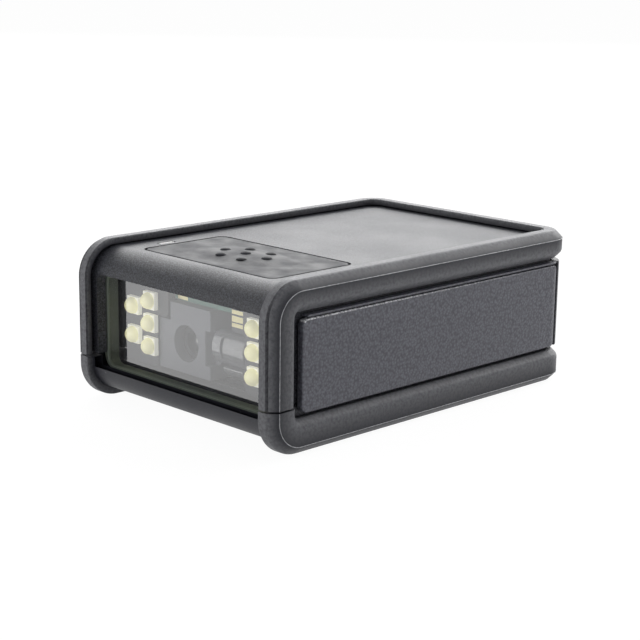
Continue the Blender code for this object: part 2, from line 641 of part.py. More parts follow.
def trigger_key(finish):
    """Key cap with a low oval mound, seven raised bumps on it, a retaining flange and a stem."""
    key = add_object("trigger_key", prism(key_outline(), "Z", KEY_BOTTOM, HOUSING_TOP), finish)
    flange_top = CEILING - SEAT
    half_length = KEY_LENGTH / 2 + KEY_FLANGE
    low = (-KEY_FLANGE_HALF, KEY_CENTRE_Y - half_length, KEY_BOTTOM)
    fuse(key, box(low, (KEY_FLANGE_HALF, KEY_CENTRE_Y + half_length, flange_top)), "flange")
    centre = (0, KEY_CENTRE_Y)
    fuse(key, cylinder(centre, STEM_RADIUS, "Z", STEM_BOTTOM, KEY_BOTTOM + 0.5 * MM, 20), "stem")

    crown = MOUND_CENTRE_DEPTH + MOUND_RISE
    spread = math.sqrt(1 - (MOUND_CENTRE_DEPTH / crown) ** 2)
    radii = (MOUND_HALF_WIDTH / spread, MOUND_HALF_LENGTH / spread, crown)
    centre = Vector((0, KEY_CENTRE_Y, HOUSING_TOP - MOUND_CENTRE_DEPTH))
    mound = ellipsoid(bmesh.new(), centre, radii, 48, 64)
    everything = mound.verts[:] + mound.edges[:] + mound.faces[:]
    root = (0, 0, HOUSING_TOP - MOUND_ROOT)
    bmesh.ops.bisect_plane(mound, geom=everything, plane_co=root, plane_no=(0, 0, 1), clear_inner=True)
    bmesh.ops.edgeloop_fill(mound, edges=[e for e in mound.edges if e.is_boundary])
    fuse(key, mound, "mound")

    bumps = bmesh.new()
    for x, y in bump_places():
        height = crown * math.sqrt(1 - (x / radii[0]) ** 2 - (y / radii[1]) ** 2)
        place = (x, KEY_CENTRE_Y + y, centre.z + height)
        ellipsoid(bumps, place, (BUMP_RADIUS, BUMP_RADIUS, BUMP_RISE), 6, 14)
    fuse(key, bumps, "bumps")


def bump_places():
    """Seven bumps: one in the middle and six round it."""
    places = [(column * BUMP_PITCH_X, 0.0) for column in (-1, 0, 1)]
    places += [(side * BUMP_PITCH_X / 2, row * BUMP_PITCH_Y) for row in (-1, 1) for side in (-1, 1)]
    return places


def key_parts(board_finish, plastic_finish, light_finish):
    half = KEY_BOARD_LENGTH / 2
    low = (-KEY_BOARD_HALF, KEY_CENTRE_Y - half, KEY_BOARD_LOW)
    add_object("key_board", box(low, (KEY_BOARD_HALF, KEY_CENTRE_Y + half, KEY_BOARD_TOP)), board_finish)

    centre = (0, KEY_CENTRE_Y)
    side = SWITCH_SIDE / 2
    body = rectangle((-side, KEY_CENTRE_Y - side), (side, KEY_CENTRE_Y + side))
    switch = add_object("trigger_switch", prism(body, "Z", SWITCH_BOTTOM, SWITCH_TOP), plastic_finish)
    plunger_bottom = SWITCH_TOP - 0.5 * MM
    well = plunger_bottom - KEY_TRAVEL - SEAT
    bore = cylinder(centre, PLUNGER_RADIUS + SEAT, "Z", well, SWITCH_TOP + 1 * MM)
    cut(switch, bore, "plunger_bore")
    plunger = cylinder(centre, PLUNGER_RADIUS, "Z", plunger_bottom, PLUNGER_TOP)
    add_object("switch_plunger", plunger, plastic_finish)

    half = (LAMP_WIDTH / 2, LAMP_LENGTH / 2)
    lamp = rectangle((LIGHT_X - half[0], LIGHT_Y - half[1]), (LIGHT_X + half[0], LIGHT_Y + half[1]))
    lamp_top = KEY_BOARD_TOP + SEAT + LAMP_HEIGHT
    add_object("status_led", prism(lamp, "Z", KEY_BOARD_TOP + SEAT, lamp_top), light_finish)
    pipe = prism(light_outline(), "Z", lamp_top + SEAT, HOUSING_TOP)
    add_object("status_light_pipe", pipe, light_finish)


def led(name, x, z, finish):
    """Square package with a domed lens, facing the window."""
    half = LED_BODY / 2
    front = LED_BACK - LED_BODY_DEPTH
    package = rectangle((x - half, z - half), (x + half, z + half))
    body = add_object(name, prism(package, "Y", front, LED_BACK), finish)
    radii = (LED_DOME_RADIUS, LED_DOME_RISE, LED_DOME_RADIUS)
    dome = ellipsoid(bmesh.new(), (x, front, z), radii, 8, 16)
    for vert in dome.verts:
        vert.co.y = min(vert.co.y, front + LED_BODY_DEPTH / 2)
    fuse(body, dome, "lens")


def led_board(name, side, inner, tab_inner, tab_low, finish):
    """A board on one side of the engine, with a tab at its upper inner corner."""
    back = LED_BOARD_FRONT + BOARD
    ends = sorted((side * inner, side * LED_BOARD_OUTER))
    outline = rounded((ends[0], LED_BOARD_LOW), (ends[1], LED_BOARD_HIGH), LED_BOARD_RADIUS, 3)
    board = add_object(name, prism(outline, "Y", LED_BOARD_FRONT, back), finish)
    ends = sorted((side * tab_inner, side * (inner + 2 * MM)))
    tab = rounded((ends[0], tab_low), (ends[1], LED_BOARD_HIGH), LED_BOARD_RADIUS, 3)
    fuse(board, prism(tab, "Y", LED_BOARD_FRONT, back), "tab")


def lighting(board_finish, led_finish):
    led_board("left_led_board", -1, LEFT_BOARD_INNER, LEFT_TAB_INNER, LEFT_TAB_LOW, board_finish)
    led_board("right_led_board", 1, RIGHT_BOARD_INNER, RIGHT_TAB_INNER, RIGHT_TAB_LOW, board_finish)
    number = 0
    for side in (-1, 1):
        for x, rows in ((LED_INNER_X, LED_INNER_ROWS), (LED_OUTER_X, LED_OUTER_ROWS)):
            for z in rows:
                number += 1
                led(f"led_{number}", side * x, z, led_finish)


def engine_carrier(finish):
    """Plate that holds the engine and the LED boards, with a rim that frames them in the window."""
    side = POCKET_SIDE - SEAT
    frame = rectangle((-side, FRONT_FLOOR + SEAT), (side, POCKET_TOP - SEAT))
    carrier = add_object("engine_carrier", prism(frame, "Y", RIM_FRONT, CARRIER_BACK), finish)
    side = LED_BOARD_OUTER + SEAT
    recess = rectangle((-side, LED_BOARD_LOW - SEAT), (side, POCKET_TOP - SEAT - RIM_HEAD))
    cut(carrier, prism(recess, "Y", RIM_FRONT - 1 * MM, CARRIER_FRONT), "board_recess")
    low = (ENGINE_LEFT - SEAT, ENGINE_LOW - SEAT)
    opening = rectangle(low, (ENGINE_RIGHT + SEAT, POCKET_TOP - CARRIER_HEAD))
    cut(carrier, prism(opening, "Y", CARRIER_FRONT - 1 * MM, CARRIER_BACK + 1 * MM), "engine_opening")


def engine(chassis_finish, board_finish):
    """Block for the camera on the left and the aimer on the right, and its two boards."""
    low, high = (ENGINE_LEFT, ENGINE_FRONT, ENGINE_LOW), (ENGINE_RIGHT, ENGINE_BACK, ENGINE_HIGH)
    chassis = add_object("engine_chassis", box(low, high), chassis_finish)
    low = (FLANGE_LEFT, ENGINE_FRONT, ENGINE_LOW)
    fuse(chassis, box(low, (ENGINE_LEFT + 1 * MM, CARRIER_FRONT - SEAT, FLANGE_HIGH)), "flange")
    low = (PLATE_RIGHT, ENGINE_FRONT - 1 * MM, ENGINE_LOW - 1 * MM)
    cut(chassis, box(low, (ENGINE_RIGHT + 1 * MM, AIMER_BACK, ENGINE_HIGH + 1 * MM)), "aimer_recess")
    low = (PLATE_RIGHT - NOTCH_WIDTH, ENGINE_FRONT - 1 * MM, NOTCH_LOW)
    cut(chassis, box(low, (PLATE_RIGHT + 1 * MM, ENGINE_FRONT + NOTCH_DEPTH, NOTCH_HIGH)), "plate_notch")
    bore_back = ENGINE_BACK - LENS_BORE_WALL
    bore = cylinder((LENS_X, LENS_Z), LENS_HOLE_RADIUS, "Y", ENGINE_FRONT - 1 * MM, bore_back, 32)
    cut(chassis, bore, "lens_bore")

    back = ENGINE_BACK + SEAT
    low, high = (ENGINE_LEFT, back, ENGINE_LOW), (ENGINE_RIGHT, back + BOARD, ENGINE_HIGH)
    add_object("sensor_board", box(low, high), board_finish)
    low = (ENGINE_LEFT, CARRIER_FRONT, ENGINE_HIGH + SEAT)
    high = (ENGINE_RIGHT, CARRIER_FRONT + BOARD, ENGINE_HIGH + SEAT + ENGINE_BOARD_HEIGHT)
    add_object("engine_board", box(low, high), board_finish)


def camera(barrel_finish, lens_finish):
    """Lens barrel in the bore of the engine, with a domed lens seated in its front."""
    axis = (LENS_X, LENS_Z)
    front = ENGINE_FRONT + BARREL_SETBACK
    back = ENGINE_BACK - LENS_BORE_WALL - SEAT
    outer = cylinder(axis, LENS_HOLE_RADIUS - SEAT, "Y", front, back, 32)
    barrel = add_object("lens_barrel", outer, barrel_finish)
    lens_front = front + LENS_SETBACK
    lens_back = lens_front + LENS_THICK
    seat = cylinder(axis, LENS_RADIUS + SEAT, "Y", front - 1 * MM, lens_back + SEAT, 24)
    cut(barrel, seat, "lens_seat")
    glass = cylinder(axis, LENS_RADIUS, "Y", lens_front, lens_back, 24)
    lens = add_object("camera_lens", glass, lens_finish)
    radius = LENS_RADIUS - SEAT
    bulge = ellipsoid(bmesh.new(), (LENS_X, lens_front, LENS_Z), (radius, LENS_BULGE, radius))
    fuse(lens, bulge, "front")


def aimer(glass_finish, lens_finish):
    """Clear aimer lens: a round-nosed upper block with a slot aperture, and a shorter foot below it."""
    depth = AIMER_BACK - SEAT
    middle = (AIMER_LOW + AIMER_HIGH) / 2
    half = (AIMER_HIGH - AIMER_LOW) / 2
    radius = (half ** 2 + AIMER_BULGE ** 2) / (2 * AIMER_BULGE)
    spread = math.degrees(math.asin(half / radius))
    nose = arc((ENGINE_FRONT + radius, middle), radius, 180 - spread, 180 + spread, 10)
    block = [(depth, AIMER_LOW), (depth, AIMER_HIGH)] + nose
    upper = add_object("aimer_lens", prism(block, "X", AIMER_LEFT, AIMER_RIGHT), glass_finish)
    slot = AIMER_LEFT + AIMER_SLOT_INSET
    low = (slot, ENGINE_FRONT - 1 * MM, middle - AIMER_SLOT_HALF)
    high = (slot + AIMER_SLOT_WIDTH, ENGINE_FRONT + AIMER_SLOT_DEPTH, middle + AIMER_SLOT_HALF)
    cut(upper, box(low, high), "aperture")

    top = AIMER_LOW - SEAT
    front = ENGINE_FRONT + FOOT_SETBACK
    curve = arc((front + FOOT_RADIUS, top), FOOT_RADIUS, 180, 270, 8)
    foot = [(depth, top)] + curve + [(depth, top - FOOT_RADIUS)]
    add_object("aimer_foot_lens", prism(foot, "X", FOOT_LEFT, FOOT_RIGHT), lens_finish)


def electronics(board_finish, chip_finish, socket_finish, metal_finish):
    plan = rectangle((-MAIN_BOARD_HALF, MAIN_BOARD_FRONT), (MAIN_BOARD_HALF, INNER_REAR - SEAT))
    board = add_object("main_board", prism(plan, "Z", MAIN_BOARD_HEIGHT, MAIN_BOARD_TOP), board_finish)
    for number, (x, y) in enumerate(boss_places()):
        around = cylinder((x, y), BOSS_RADIUS + 2 * SEAT, "Z", 0, HEIGHT)
        cut(board, around, f"boss_notch_{number}")

    seat = MAIN_BOARD_TOP + SEAT
    low = (-SHIELD_HALF, MAIN_BOARD_FRONT + SHIELD_SETBACK, seat)
    high = (SHIELD_HALF, SOCKET_FRONT - SHIELD_CLEARANCE, seat + SHIELD_HEIGHT)
    add_object("processor_shield", box(low, high), metal_finish)
    centre = (BEEPER_X, MAIN_BOARD_FRONT + BEEPER_SETBACK)
    add_object("beeper", cylinder(centre, BEEPER_RADIUS, "Z", seat, seat + BEEPER_HEIGHT), chip_finish)
    low = (-CONNECTOR_HALF, MAIN_BOARD_FRONT + CONNECTOR_SETBACK, seat)
    high = (CONNECTOR_HALF, low[1] + CONNECTOR_LENGTH, CONNECTOR_TOP)
    add_object("flex_connector", box(low, high), socket_finish)

    half = SOCKET_WIDTH / 2
    body = box((-half, SOCKET_FRONT, SOCKET_LOW), (half, SOCKET_BACK, SOCKET_LOW + SOCKET_HEIGHT))
    socket = add_object("interface_socket", body, socket_finish)
    mouth = SOCKET_MOUTH_WIDTH / 2
    middle = SOCKET_LOW + SOCKET_HEIGHT / 2
    low = (-mouth, SOCKET_BACK - SOCKET_MOUTH_DEPTH, middle - SOCKET_MOUTH_HEIGHT / 2)
    cut(socket, box(low, (mouth, REAR + 1 * MM, middle + SOCKET_MOUTH_HEIGHT / 2)), "mouth")


def engine_flex(finish):
    """Flat flexible cable, from the back of the sensor board down to the main board's connector."""
    start = ENGINE_BACK + BOARD + 2 * SEAT
    bottom = CONNECTOR_TOP + SEAT
    upright = start + FLEX_THICK
    end = MAIN_BOARD_FRONT + FLEX_REACH
    route = [(start, bottom + FLEX_RISE), (upright, bottom + FLEX_RISE), (upright, bottom + FLEX_THICK)]
    route += [(end, bottom + FLEX_THICK), (end, bottom), (start, bottom)]
    add_object("engine_flex", prism(route, "X", -FLEX_HALF, FLEX_HALF), finish)


def fasteners(steel_finish, brass_finish):
    for number, (x, y) in enumerate(boss_places(), start=1):
        head_low = BASE + SEAT / 2
        head_high = BASE + SCREW_HEAD_HEIGHT
        head = cylinder((x, y), SCREW_HEAD_RADIUS, "Z", head_low, head_high, 20)
        screw = add_object(f"case_screw_{number}", head, steel_finish)
        shank_low = head_high - SCREW_HEAD_HEIGHT / 3
        fuse(screw, cylinder((x, y), SCREW_RADIUS, "Z", shank_low, head_high + SCREW_LENGTH, 16), "shank")
        cut(screw, cylinder((x, y), HEX_RADIUS, "Z", 0, head_low + HEX_DEPTH, 6), "hex_socket")
    for name, x in (("left_mounting_insert", -INSERT_X), ("right_mounting_insert", INSERT_X)):
        centre = (x, INSERT_Y)
        low = BASE + SEAT / 2
        sleeve = cylinder(centre, INSERT_RADIUS, "Z", low, low + INSERT_LENGTH, 20)
        insert = add_object(name, sleeve, brass_finish)
        cut(insert, cylinder(centre, INSERT_BORE, "Z", 0, HEIGHT, 16), "bore")


def main():
    clear_scene()
    rubber = material("bumper_rubber", (0.075, 0.077, 0.085), 0.62)
    shell = material("housing_polycarbonate", (0.085, 0.086, 0.092), 0.55)
    key = material("key_plastic", (0.055, 0.056, 0.062), 0.42)
    dark = material("dark_plastic", (0.03, 0.03, 0.033), 0.5)
    grey = material("engine_plastic", (0.16, 0.165, 0.175), 0.6)
    foam = material("gasket_foam", (0.21, 0.235, 0.215), 0.8)
    glass = material("window_glass", (0.8, 0.82, 0.82), 0.05, alpha=0.25)
    lens = material("lens_glass", (0.75, 0.78, 0.8), 0.05, alpha=0.4)
    board = material("circuit_board", (0.05, 0.2, 0.15), 0.5)
    mask = material("led_board_mask", (0.03, 0.032, 0.036), 0.45)
    lamp = material("led_phosphor", (0.8, 0.78, 0.5), 0.35)
    light = material("light_pipe", (0.85, 0.85, 0.83), 0.3)
    chip = material("chip_moulding", (0.02, 0.02, 0.02), 0.45)
    steel = material("zinc_steel", (0.55, 0.56, 0.57), 0.35, 1.0)
    brass = material("brass", (0.75, 0.55, 0.25), 0.35, 1.0)
    film = material("flex_film", (0.5, 0.28, 0.08), 0.4)

    bumpers(rubber)
    upper_housing(shell)
    lower_housing(shell)
    side_pads(shell)
    rear_panel(shell)
    window(glass, foam)
    trigger_key(key)
    key_parts(board, dark, light)
    lighting(mask, lamp)
    engine_carrier(dark)
    engine(grey, board)
    camera(dark, lens)
    aimer(glass, lens)
    electronics(board, chip, dark, steel)
    engine_flex(film)
    fasteners(steel, brass)


main()
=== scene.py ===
"""Compact fixed-mount barcode reader: surfaces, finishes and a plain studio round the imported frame."""

import json
import math

import bmesh
import bpy
from mathutils import Matrix, Vector


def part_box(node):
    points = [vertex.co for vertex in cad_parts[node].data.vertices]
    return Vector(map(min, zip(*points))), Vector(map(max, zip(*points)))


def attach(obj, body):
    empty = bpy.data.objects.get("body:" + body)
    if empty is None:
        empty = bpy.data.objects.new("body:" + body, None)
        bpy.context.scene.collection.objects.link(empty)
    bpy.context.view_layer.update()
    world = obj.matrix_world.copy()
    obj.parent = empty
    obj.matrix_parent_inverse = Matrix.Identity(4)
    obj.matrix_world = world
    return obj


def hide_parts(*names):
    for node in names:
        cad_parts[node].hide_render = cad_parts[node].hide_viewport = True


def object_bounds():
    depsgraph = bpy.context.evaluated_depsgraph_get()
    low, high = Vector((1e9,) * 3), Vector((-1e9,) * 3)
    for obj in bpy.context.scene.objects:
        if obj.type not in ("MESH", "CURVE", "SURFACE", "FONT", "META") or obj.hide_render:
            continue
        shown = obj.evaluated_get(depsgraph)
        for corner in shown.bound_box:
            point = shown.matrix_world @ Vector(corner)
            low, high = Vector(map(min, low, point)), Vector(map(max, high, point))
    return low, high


MM = 0.001

# Meshes. Angles are in degrees.
CLOSE = 1e-7  # metres within which two places count as one
MERGE = 0.001 * MM
FLAT_ANGLE = 0.5  # faces that turn by less than this are joined
SHARP_ANGLE = 30
BAR_SHARP_ANGLE = 40
SMOOTH_ANGLE = 35

# Camera, solved from the edges of the case. The picture is 640 pixels square.
VIEW_AZIMUTH = 45.31
VIEW_ELEVATION = 13.61
VIEW_ROLL = 0.77
VIEW_DISTANCE = 260.44 * MM
VIEW_AIM = (-1.56 * MM, -2.21 * MM)  # sideways and upwards from the middle of the case
VIEW_AIM_HEIGHT = 13.5 * MM
VIEW_FOCAL = 1601.98  # in pixels
PICTURE_SIDE = 640
SENSOR = 36.0

# Studio. A soft box has its place, width and height in metres, and its radiance.
FLOOR_REACH = 4.0
FLOOR_SHOWN = 0.88  # share of plain white in the floor that is seen, where the rest keeps the shadow
FLOOR_WHITE = 1.08
SKY_LIGHT = 0.3
SKY_SHOWN = 1.0
LAMP_AIM = Vector((0, 0, 0.01))
SOFT_BOXES = {
    "backdrop": ((-0.42, 0.5, 0.42), 1.6, 0.35, 4.2),
    "backdrop_low": ((-0.5, 0.55, 0.12), 1.6, 0.25, 1.0),
    "behind": ((0.2, 0.55, 0.5), 0.5, 0.4, 2.2),
    "front_left": ((-0.3, -0.6, 0.15), 0.4, 0.25, 2.4),
    "front": ((0.1, -0.65, 0.2), 0.4, 0.35, 0.6),
}

# Grain, rub with painted highlight, and dust of the finishes
NOISE_SPAN = {"From_Min": 0.3, "From_Max": 0.7}  # where nearly all values of a noise lie
# Pale tone and patch size of rub and painted highlight along edges and the flash line
RUB_AND_HIGHLIGHT_TONE = "#E2E3E8"
RUB_AND_HIGHLIGHT_PATCH = 0.5 * MM
PAD_RUB_AND_HIGHLIGHT_TONE = "#F4F4F7"
PAD_RUB_AND_HIGHLIGHT_PATCH = 0.35 * MM
SPECK_TONE = "#9A9BA0"
SPECK_PITCH = 1.3 * MM
SPECK_REACH = 0.055  # radius of a speck, as a share of the pitch
PEBBLE = 0.42 * MM
PEBBLE_DEPTH = 0.05 * MM
PEBBLE_FINE = 0.16 * MM
CREASE_BEND = 1.6 * MM
CREASE_SHIFT = 0.5 * MM
DRIFT_DARK = 0.85
DRIFT_DEPTH = 0.004 * MM

# Bumper rails, as sections that run from the crest inwards
LOOP_RADIUS = 5.8 * MM
LOOP_STEPS = 24
PLAN_RADIUS = 4.8 * MM
PLAN_STEPS = 18
LIP_WIDTH = 3.1 * MM
LEG_WIDTH = 1.6 * MM
CREST_CHAMFER = 1.3 * MM
UPPER_FACE = 2.2 * MM
LOWER_FACE = 2.95 * MM
UPPER_UNDERCUT = 1.15 * MM
POST_CREASE_DROP = 0.5 * MM  # the upper rail's undercut is narrower by this on the front posts
LOWER_UNDERCUT = 1.1 * MM
TOP_PROUD = 1.25 * MM
BASE_PROUD = 1.5 * MM
SEAT = 0.25 * MM
CREST_ROUND = 0.3 * MM
LIP_ROUND = 0.2 * MM
FOOT_ROUND = 0.12 * MM
CREASE_ROUND = 0.4 * MM
# Share of rub and painted highlight on every rounded corner of a rail
ROUND_RUB_AND_HIGHLIGHT = 0.2
BEAD_WIDTH = 0.13 * MM  # flash left by the mould's parting line
BEAD_RISE = 0.05 * MM
GROOVE = ((0.1 * MM, 0.02 * MM), (0.2 * MM, 0.2 * MM))  # dip beside the flash, inwards and along

# Window bar, between the two lower front corners
BAR_PROUD = 1.1 * MM
BAR_RADIUS = 5.0 * MM
BAR_WALL = 1.6 * MM
BAR_TONGUE = 1.4 * MM
BAR_SAG = 0.3 * MM  # what the soft bar hangs below the level of the tray
BAR_SEAM_GAP = 0.1 * MM
BAR_ROUND = 0.15 * MM
WINDOW_HALF = 19.5 * MM
WINDOW_LOW = 5.4 * MM
WINDOW_RADIUS = 1.3 * MM

# Side pads: a grained field below a narrow rim
PAD_ROUND = 0.25 * MM
PAD_CORNER = 1.1 * MM
PAD_RIM = 0.3 * MM
PAD_RIM_GAP = 0.22 * MM
PAD_RIM_START = 0.9 * MM  # how far behind the pad's front the rim starts
PAD_RIM_SET = 0.05 * MM
PAD_RIM_CORNER = 0.14 * MM
PAD_RIM_ROUND = 0.08 * MM
PAD_RUB_AND_HIGHLIGHT_DEPTH = 0.2 * MM  # how far below its round edge the pad carries rub and painted highlight
PAD_RUB_AND_HIGHLIGHT_END = 7 * MM  # how far back the rub and painted highlight reach
PAD_RUB_AND_HIGHLIGHT_FADE = 12 * MM
PAD_BEND = 2.5 * MM
PAD_BEND_STEPS = 12
PAD_WRAP = 34.0  # degrees that the pad carries on round the rear corner

# Trigger key
KEY_WIDTH = 29.55 * MM
KEY_LENGTH = 16.45 * MM
KEY_CENTRE_Y = -18.35 * MM
KEY_RADIUS = 1.4 * MM
KEY_EDGE = 0.1 * MM
KEY_EDGE_STEPS = 4
KEY_SKIRT_SHORT = 0.5 * MM  # how far the skirt ends above the foot of the CAD key
FLANGE_HALF_WIDTH = 12 * MM
FLANGE_HALF_LENGTH = 9.45 * MM
FLANGE_OVERLAP = 0.1 * MM
FLANGE_OVER_BOARD = 4.1 * MM
FLANGE_ROUND = 0.1 * MM
MOUND_HALF_WIDTH = 10.0 * MM
MOUND_HALF_LENGTH = 5.2 * MM
MOUND_RISE = 0.45 * MM
MOUND_CENTRE_DEPTH = 3.3 * MM
MOUND_BLEND = 0.05 * MM
BUMP_RADIUS = 0.85 * MM
BUMP_RISE = 0.35 * MM
BUMP_PITCH_X = 4.7 * MM
BUMP_PITCH_Y = 3.0 * MM

# Lamps in the window
LED_COUNT = 10
LED_DOME_RADIUS = 1.33 * MM
LED_DOME_RISE = 1.3 * MM
LED_DOME_SUNK = 0.1 * MM
LED_BODY_DEPTH = 0.8 * MM
LED_BODY_ROUND = 0.07 * MM

# Gold contacts. Strips and the patch are given by x and z, and stand on the front of their boards.
CONTACT_PROUD = 0.03 * MM
CONTACT_SUNK = 0.1 * MM
CONTACT_ROUND = 0.01 * MM
STRIP_START = 6.3 * MM
STRIP_END = 8.75 * MM
STRIP_HEIGHTS = ((17.7 * MM, 18.3 * MM), (16.5 * MM, 17.4 * MM), (15.7 * MM, 16.3 * MM))
PATCH = ((-7.7 * MM, 17.4 * MM), (-5.3 * MM, 18.1 * MM))
PIN_COUNT = 10
PIN_PITCH = 1.02 * MM
PIN_HALF_WIDTH = 0.2 * MM
PIN_LOW = 14.9 * MM
PIN_HIGH = 15.6 * MM
PIN_FRONT = 22.0 * MM
PIN_BACK = 30.5 * MM

# CAD solids that are shown with round edges, and how wide those are
EDGES = {
    "upper_housing": 0.07 * MM,
    "lower_housing": 0.12 * MM,
    "rear_panel": 0.15 * MM,
    "window_gasket": 0.08 * MM,
    "window_pane": 0.05 * MM,
    "engine_carrier": 0.1 * MM,
    "engine_chassis": 0.08 * MM,
    "left_led_board": 0.05 * MM,
    "right_led_board": 0.05 * MM,
    "engine_board": 0.05 * MM,
    "lens_barrel": 0.1 * MM,
    "camera_lens": 0.05 * MM,
    "aimer_lens": 0.35 * MM,
    "aimer_foot_lens": 0.15 * MM,
    "interface_socket": 0.15 * MM,
    "status_light_pipe": 0.06 * MM,
}


def linear(hex_colour):
    """sRGB hex to the linear colour that a shader takes."""
    levels = [int(hex_colour[i:i + 2], 16) / 255 for i in (1, 3, 5)]
    return (*[c / 12.92 if c <= 0.04045 else ((c + 0.055) / 1.055) ** 2.4 for c in levels], 1.0)


def add(tree, kind, settings=None, **inputs):
    """Adds a node. A setting is a property; an input is a value, or an output that it is linked from.

    An input is named, with _ for a space, or given by its number after a _.
    """
    node = tree.nodes.new(kind)
    for name, value in (settings or {}).items():
        setattr(node, name, value)
    for name, value in inputs.items():
        socket = node.inputs[int(name[1:])] if name[0] == "_" else node.inputs[name.replace("_", " ")]
        if isinstance(value, bpy.types.NodeSocket):
            tree.links.new(value, socket)
        else:
            socket.default_value = value
    return node


def new_material(name):
    """An empty material and its node tree."""
    made = bpy.data.materials.new(name)
    made.use_nodes = True
    made.node_tree.nodes.clear()
    return made, made.node_tree


def close_material(tree, surface):
    """Links a finished shader to the material's output."""
    output = tree.nodes.new("ShaderNodeOutputMaterial")
    tree.links.new(surface, output.inputs["Surface"])


def rubbed_and_highlit(tree, place, toned, pale, patch_size, edge, shares):
    """Pale rub and painted highlight where a piece carries them, broken up into patches.

    Edge is where a patch of the noise begins and is full, and shares are the least and the most of the rub
    and painted highlight.
    """
    rub_and_highlight_mark = add(tree, "ShaderNodeAttribute", {"attribute_name": "rub_and_highlight"})
    patch = add(tree, "ShaderNodeTexNoise", Vector=place, Scale=1 / patch_size, Detail=2.0)
    broken = add(tree, "ShaderNodeMapRange", Value=patch.outputs["Fac"], From_Min=edge[0], From_Max=edge[1],
                 To_Min=shares[0], To_Max=shares[1])
    share = add(tree, "ShaderNodeMath", {"operation": "MULTIPLY"}, _0=rub_and_highlight_mark.outputs["Fac"],
                _1=broken.outputs["Result"])
    mixed = add(tree, "ShaderNodeMix", {"data_type": "RGBA"}, Factor=share.outputs["Value"], _6=toned,
                _7=linear(pale))
    return mixed.outputs["Result"]


def dusted(tree, place, toned, dust):
    """Small pale specks, one in the middle of each cell that the dust picks."""
    cells = add(tree, "ShaderNodeTexVoronoi", Vector=place, Scale=1 / SPECK_PITCH)
    lot = add(tree, "ShaderNodeSeparateColor", Color=cells.outputs["Color"])
    picked = add(tree, "ShaderNodeMath", {"operation": "LESS_THAN"}, _0=lot.outputs["Red"], _1=dust)
    middle = add(tree, "ShaderNodeMath", {"operation": "LESS_THAN"}, _0=cells.outputs["Distance"],
                 _1=SPECK_REACH)
    speck = add(tree, "ShaderNodeMath", {"operation": "MULTIPLY"}, _0=picked.outputs["Value"],
                _1=middle.outputs["Value"])
    mixed = add(tree, "ShaderNodeMix", {"data_type": "RGBA"}, Factor=speck.outputs["Value"], _6=toned,
                _7=linear(SPECK_TONE))
    return mixed.outputs["Result"]


def moulded(name, colour, painted_glint, roughness, grain, depth, wear_and_highlight=0.0, dust=0.0, gloss=0.5,
            cloud_size=9 * MM, cloud=0.04):
    """Moulded plastic or rubber with the fine pits of its tool.

    The grain is the size of one pit and the depth is how far it is sunk, both in metres. A tool's real
    pits are too fine to show, so they are drawn about as coarse as a pixel of the picture. The painted
    glint is a paler tone painted on the tops between the pits, as painted highlight. Wear and highlight is
    the most of the pale mark on the edges that carry it, partly rub and partly painted highlight, and dust
    the share of bright specks. Gloss is the level of the reflection. Clouds are broad patches in which the
    surface is a little duller or brighter, and cloud is by how much.
    """
    made, tree = new_material(name)
    place = add(tree, "ShaderNodeTexCoord").outputs["Object"]
    pits = add(tree, "ShaderNodeTexNoise", Vector=place, Scale=1 / grain, Detail=3.0, Roughness=0.6)
    broad = add(tree, "ShaderNodeTexNoise", Vector=place, Scale=1 / cloud_size, Detail=2.0)
    tops = add(tree, "ShaderNodeMapRange", Value=pits.outputs["Fac"], From_Min=0.42, From_Max=0.7)
    # Painted glints: the tops between the pits are painted paler, as painted highlight
    tone = add(tree, "ShaderNodeMix", {"data_type": "RGBA"}, Factor=tops.outputs["Result"],
               _6=linear(colour), _7=linear(painted_glint))
    spread = add(tree, "ShaderNodeMapRange", Value=broad.outputs["Fac"], **NOISE_SPAN,
                 To_Min=1 - 2 * cloud, To_Max=1 + 2 * cloud)
    toned = add(tree, "ShaderNodeVectorMath", {"operation": "SCALE"}, _0=tone.outputs["Result"],
                Scale=spread.outputs["Result"]).outputs["Vector"]
    if wear_and_highlight:
        # Pale rub and painted highlight on the flash line and rounded edges that carry them
        toned = rubbed_and_highlit(tree, place, toned, RUB_AND_HIGHLIGHT_TONE, RUB_AND_HIGHLIGHT_PATCH, edge=(0.3, 0.6), shares=(0.45, wear_and_highlight))
    if dust:
        toned = dusted(tree, place, toned, dust)
    polish = add(tree, "ShaderNodeMapRange", Value=broad.outputs["Fac"], **NOISE_SPAN,
                 To_Min=roughness - cloud, To_Max=roughness + cloud)
    bump = add(tree, "ShaderNodeBump", Height=pits.outputs["Fac"], Distance=depth, Strength=1.0)
    shader = add(tree, "ShaderNodeBsdfPrincipled", Base_Color=toned, Roughness=polish.outputs["Result"],
                 Normal=bump.outputs["Normal"], Specular_IOR_Level=gloss)
    close_material(tree, shader.outputs["BSDF"])
    return made


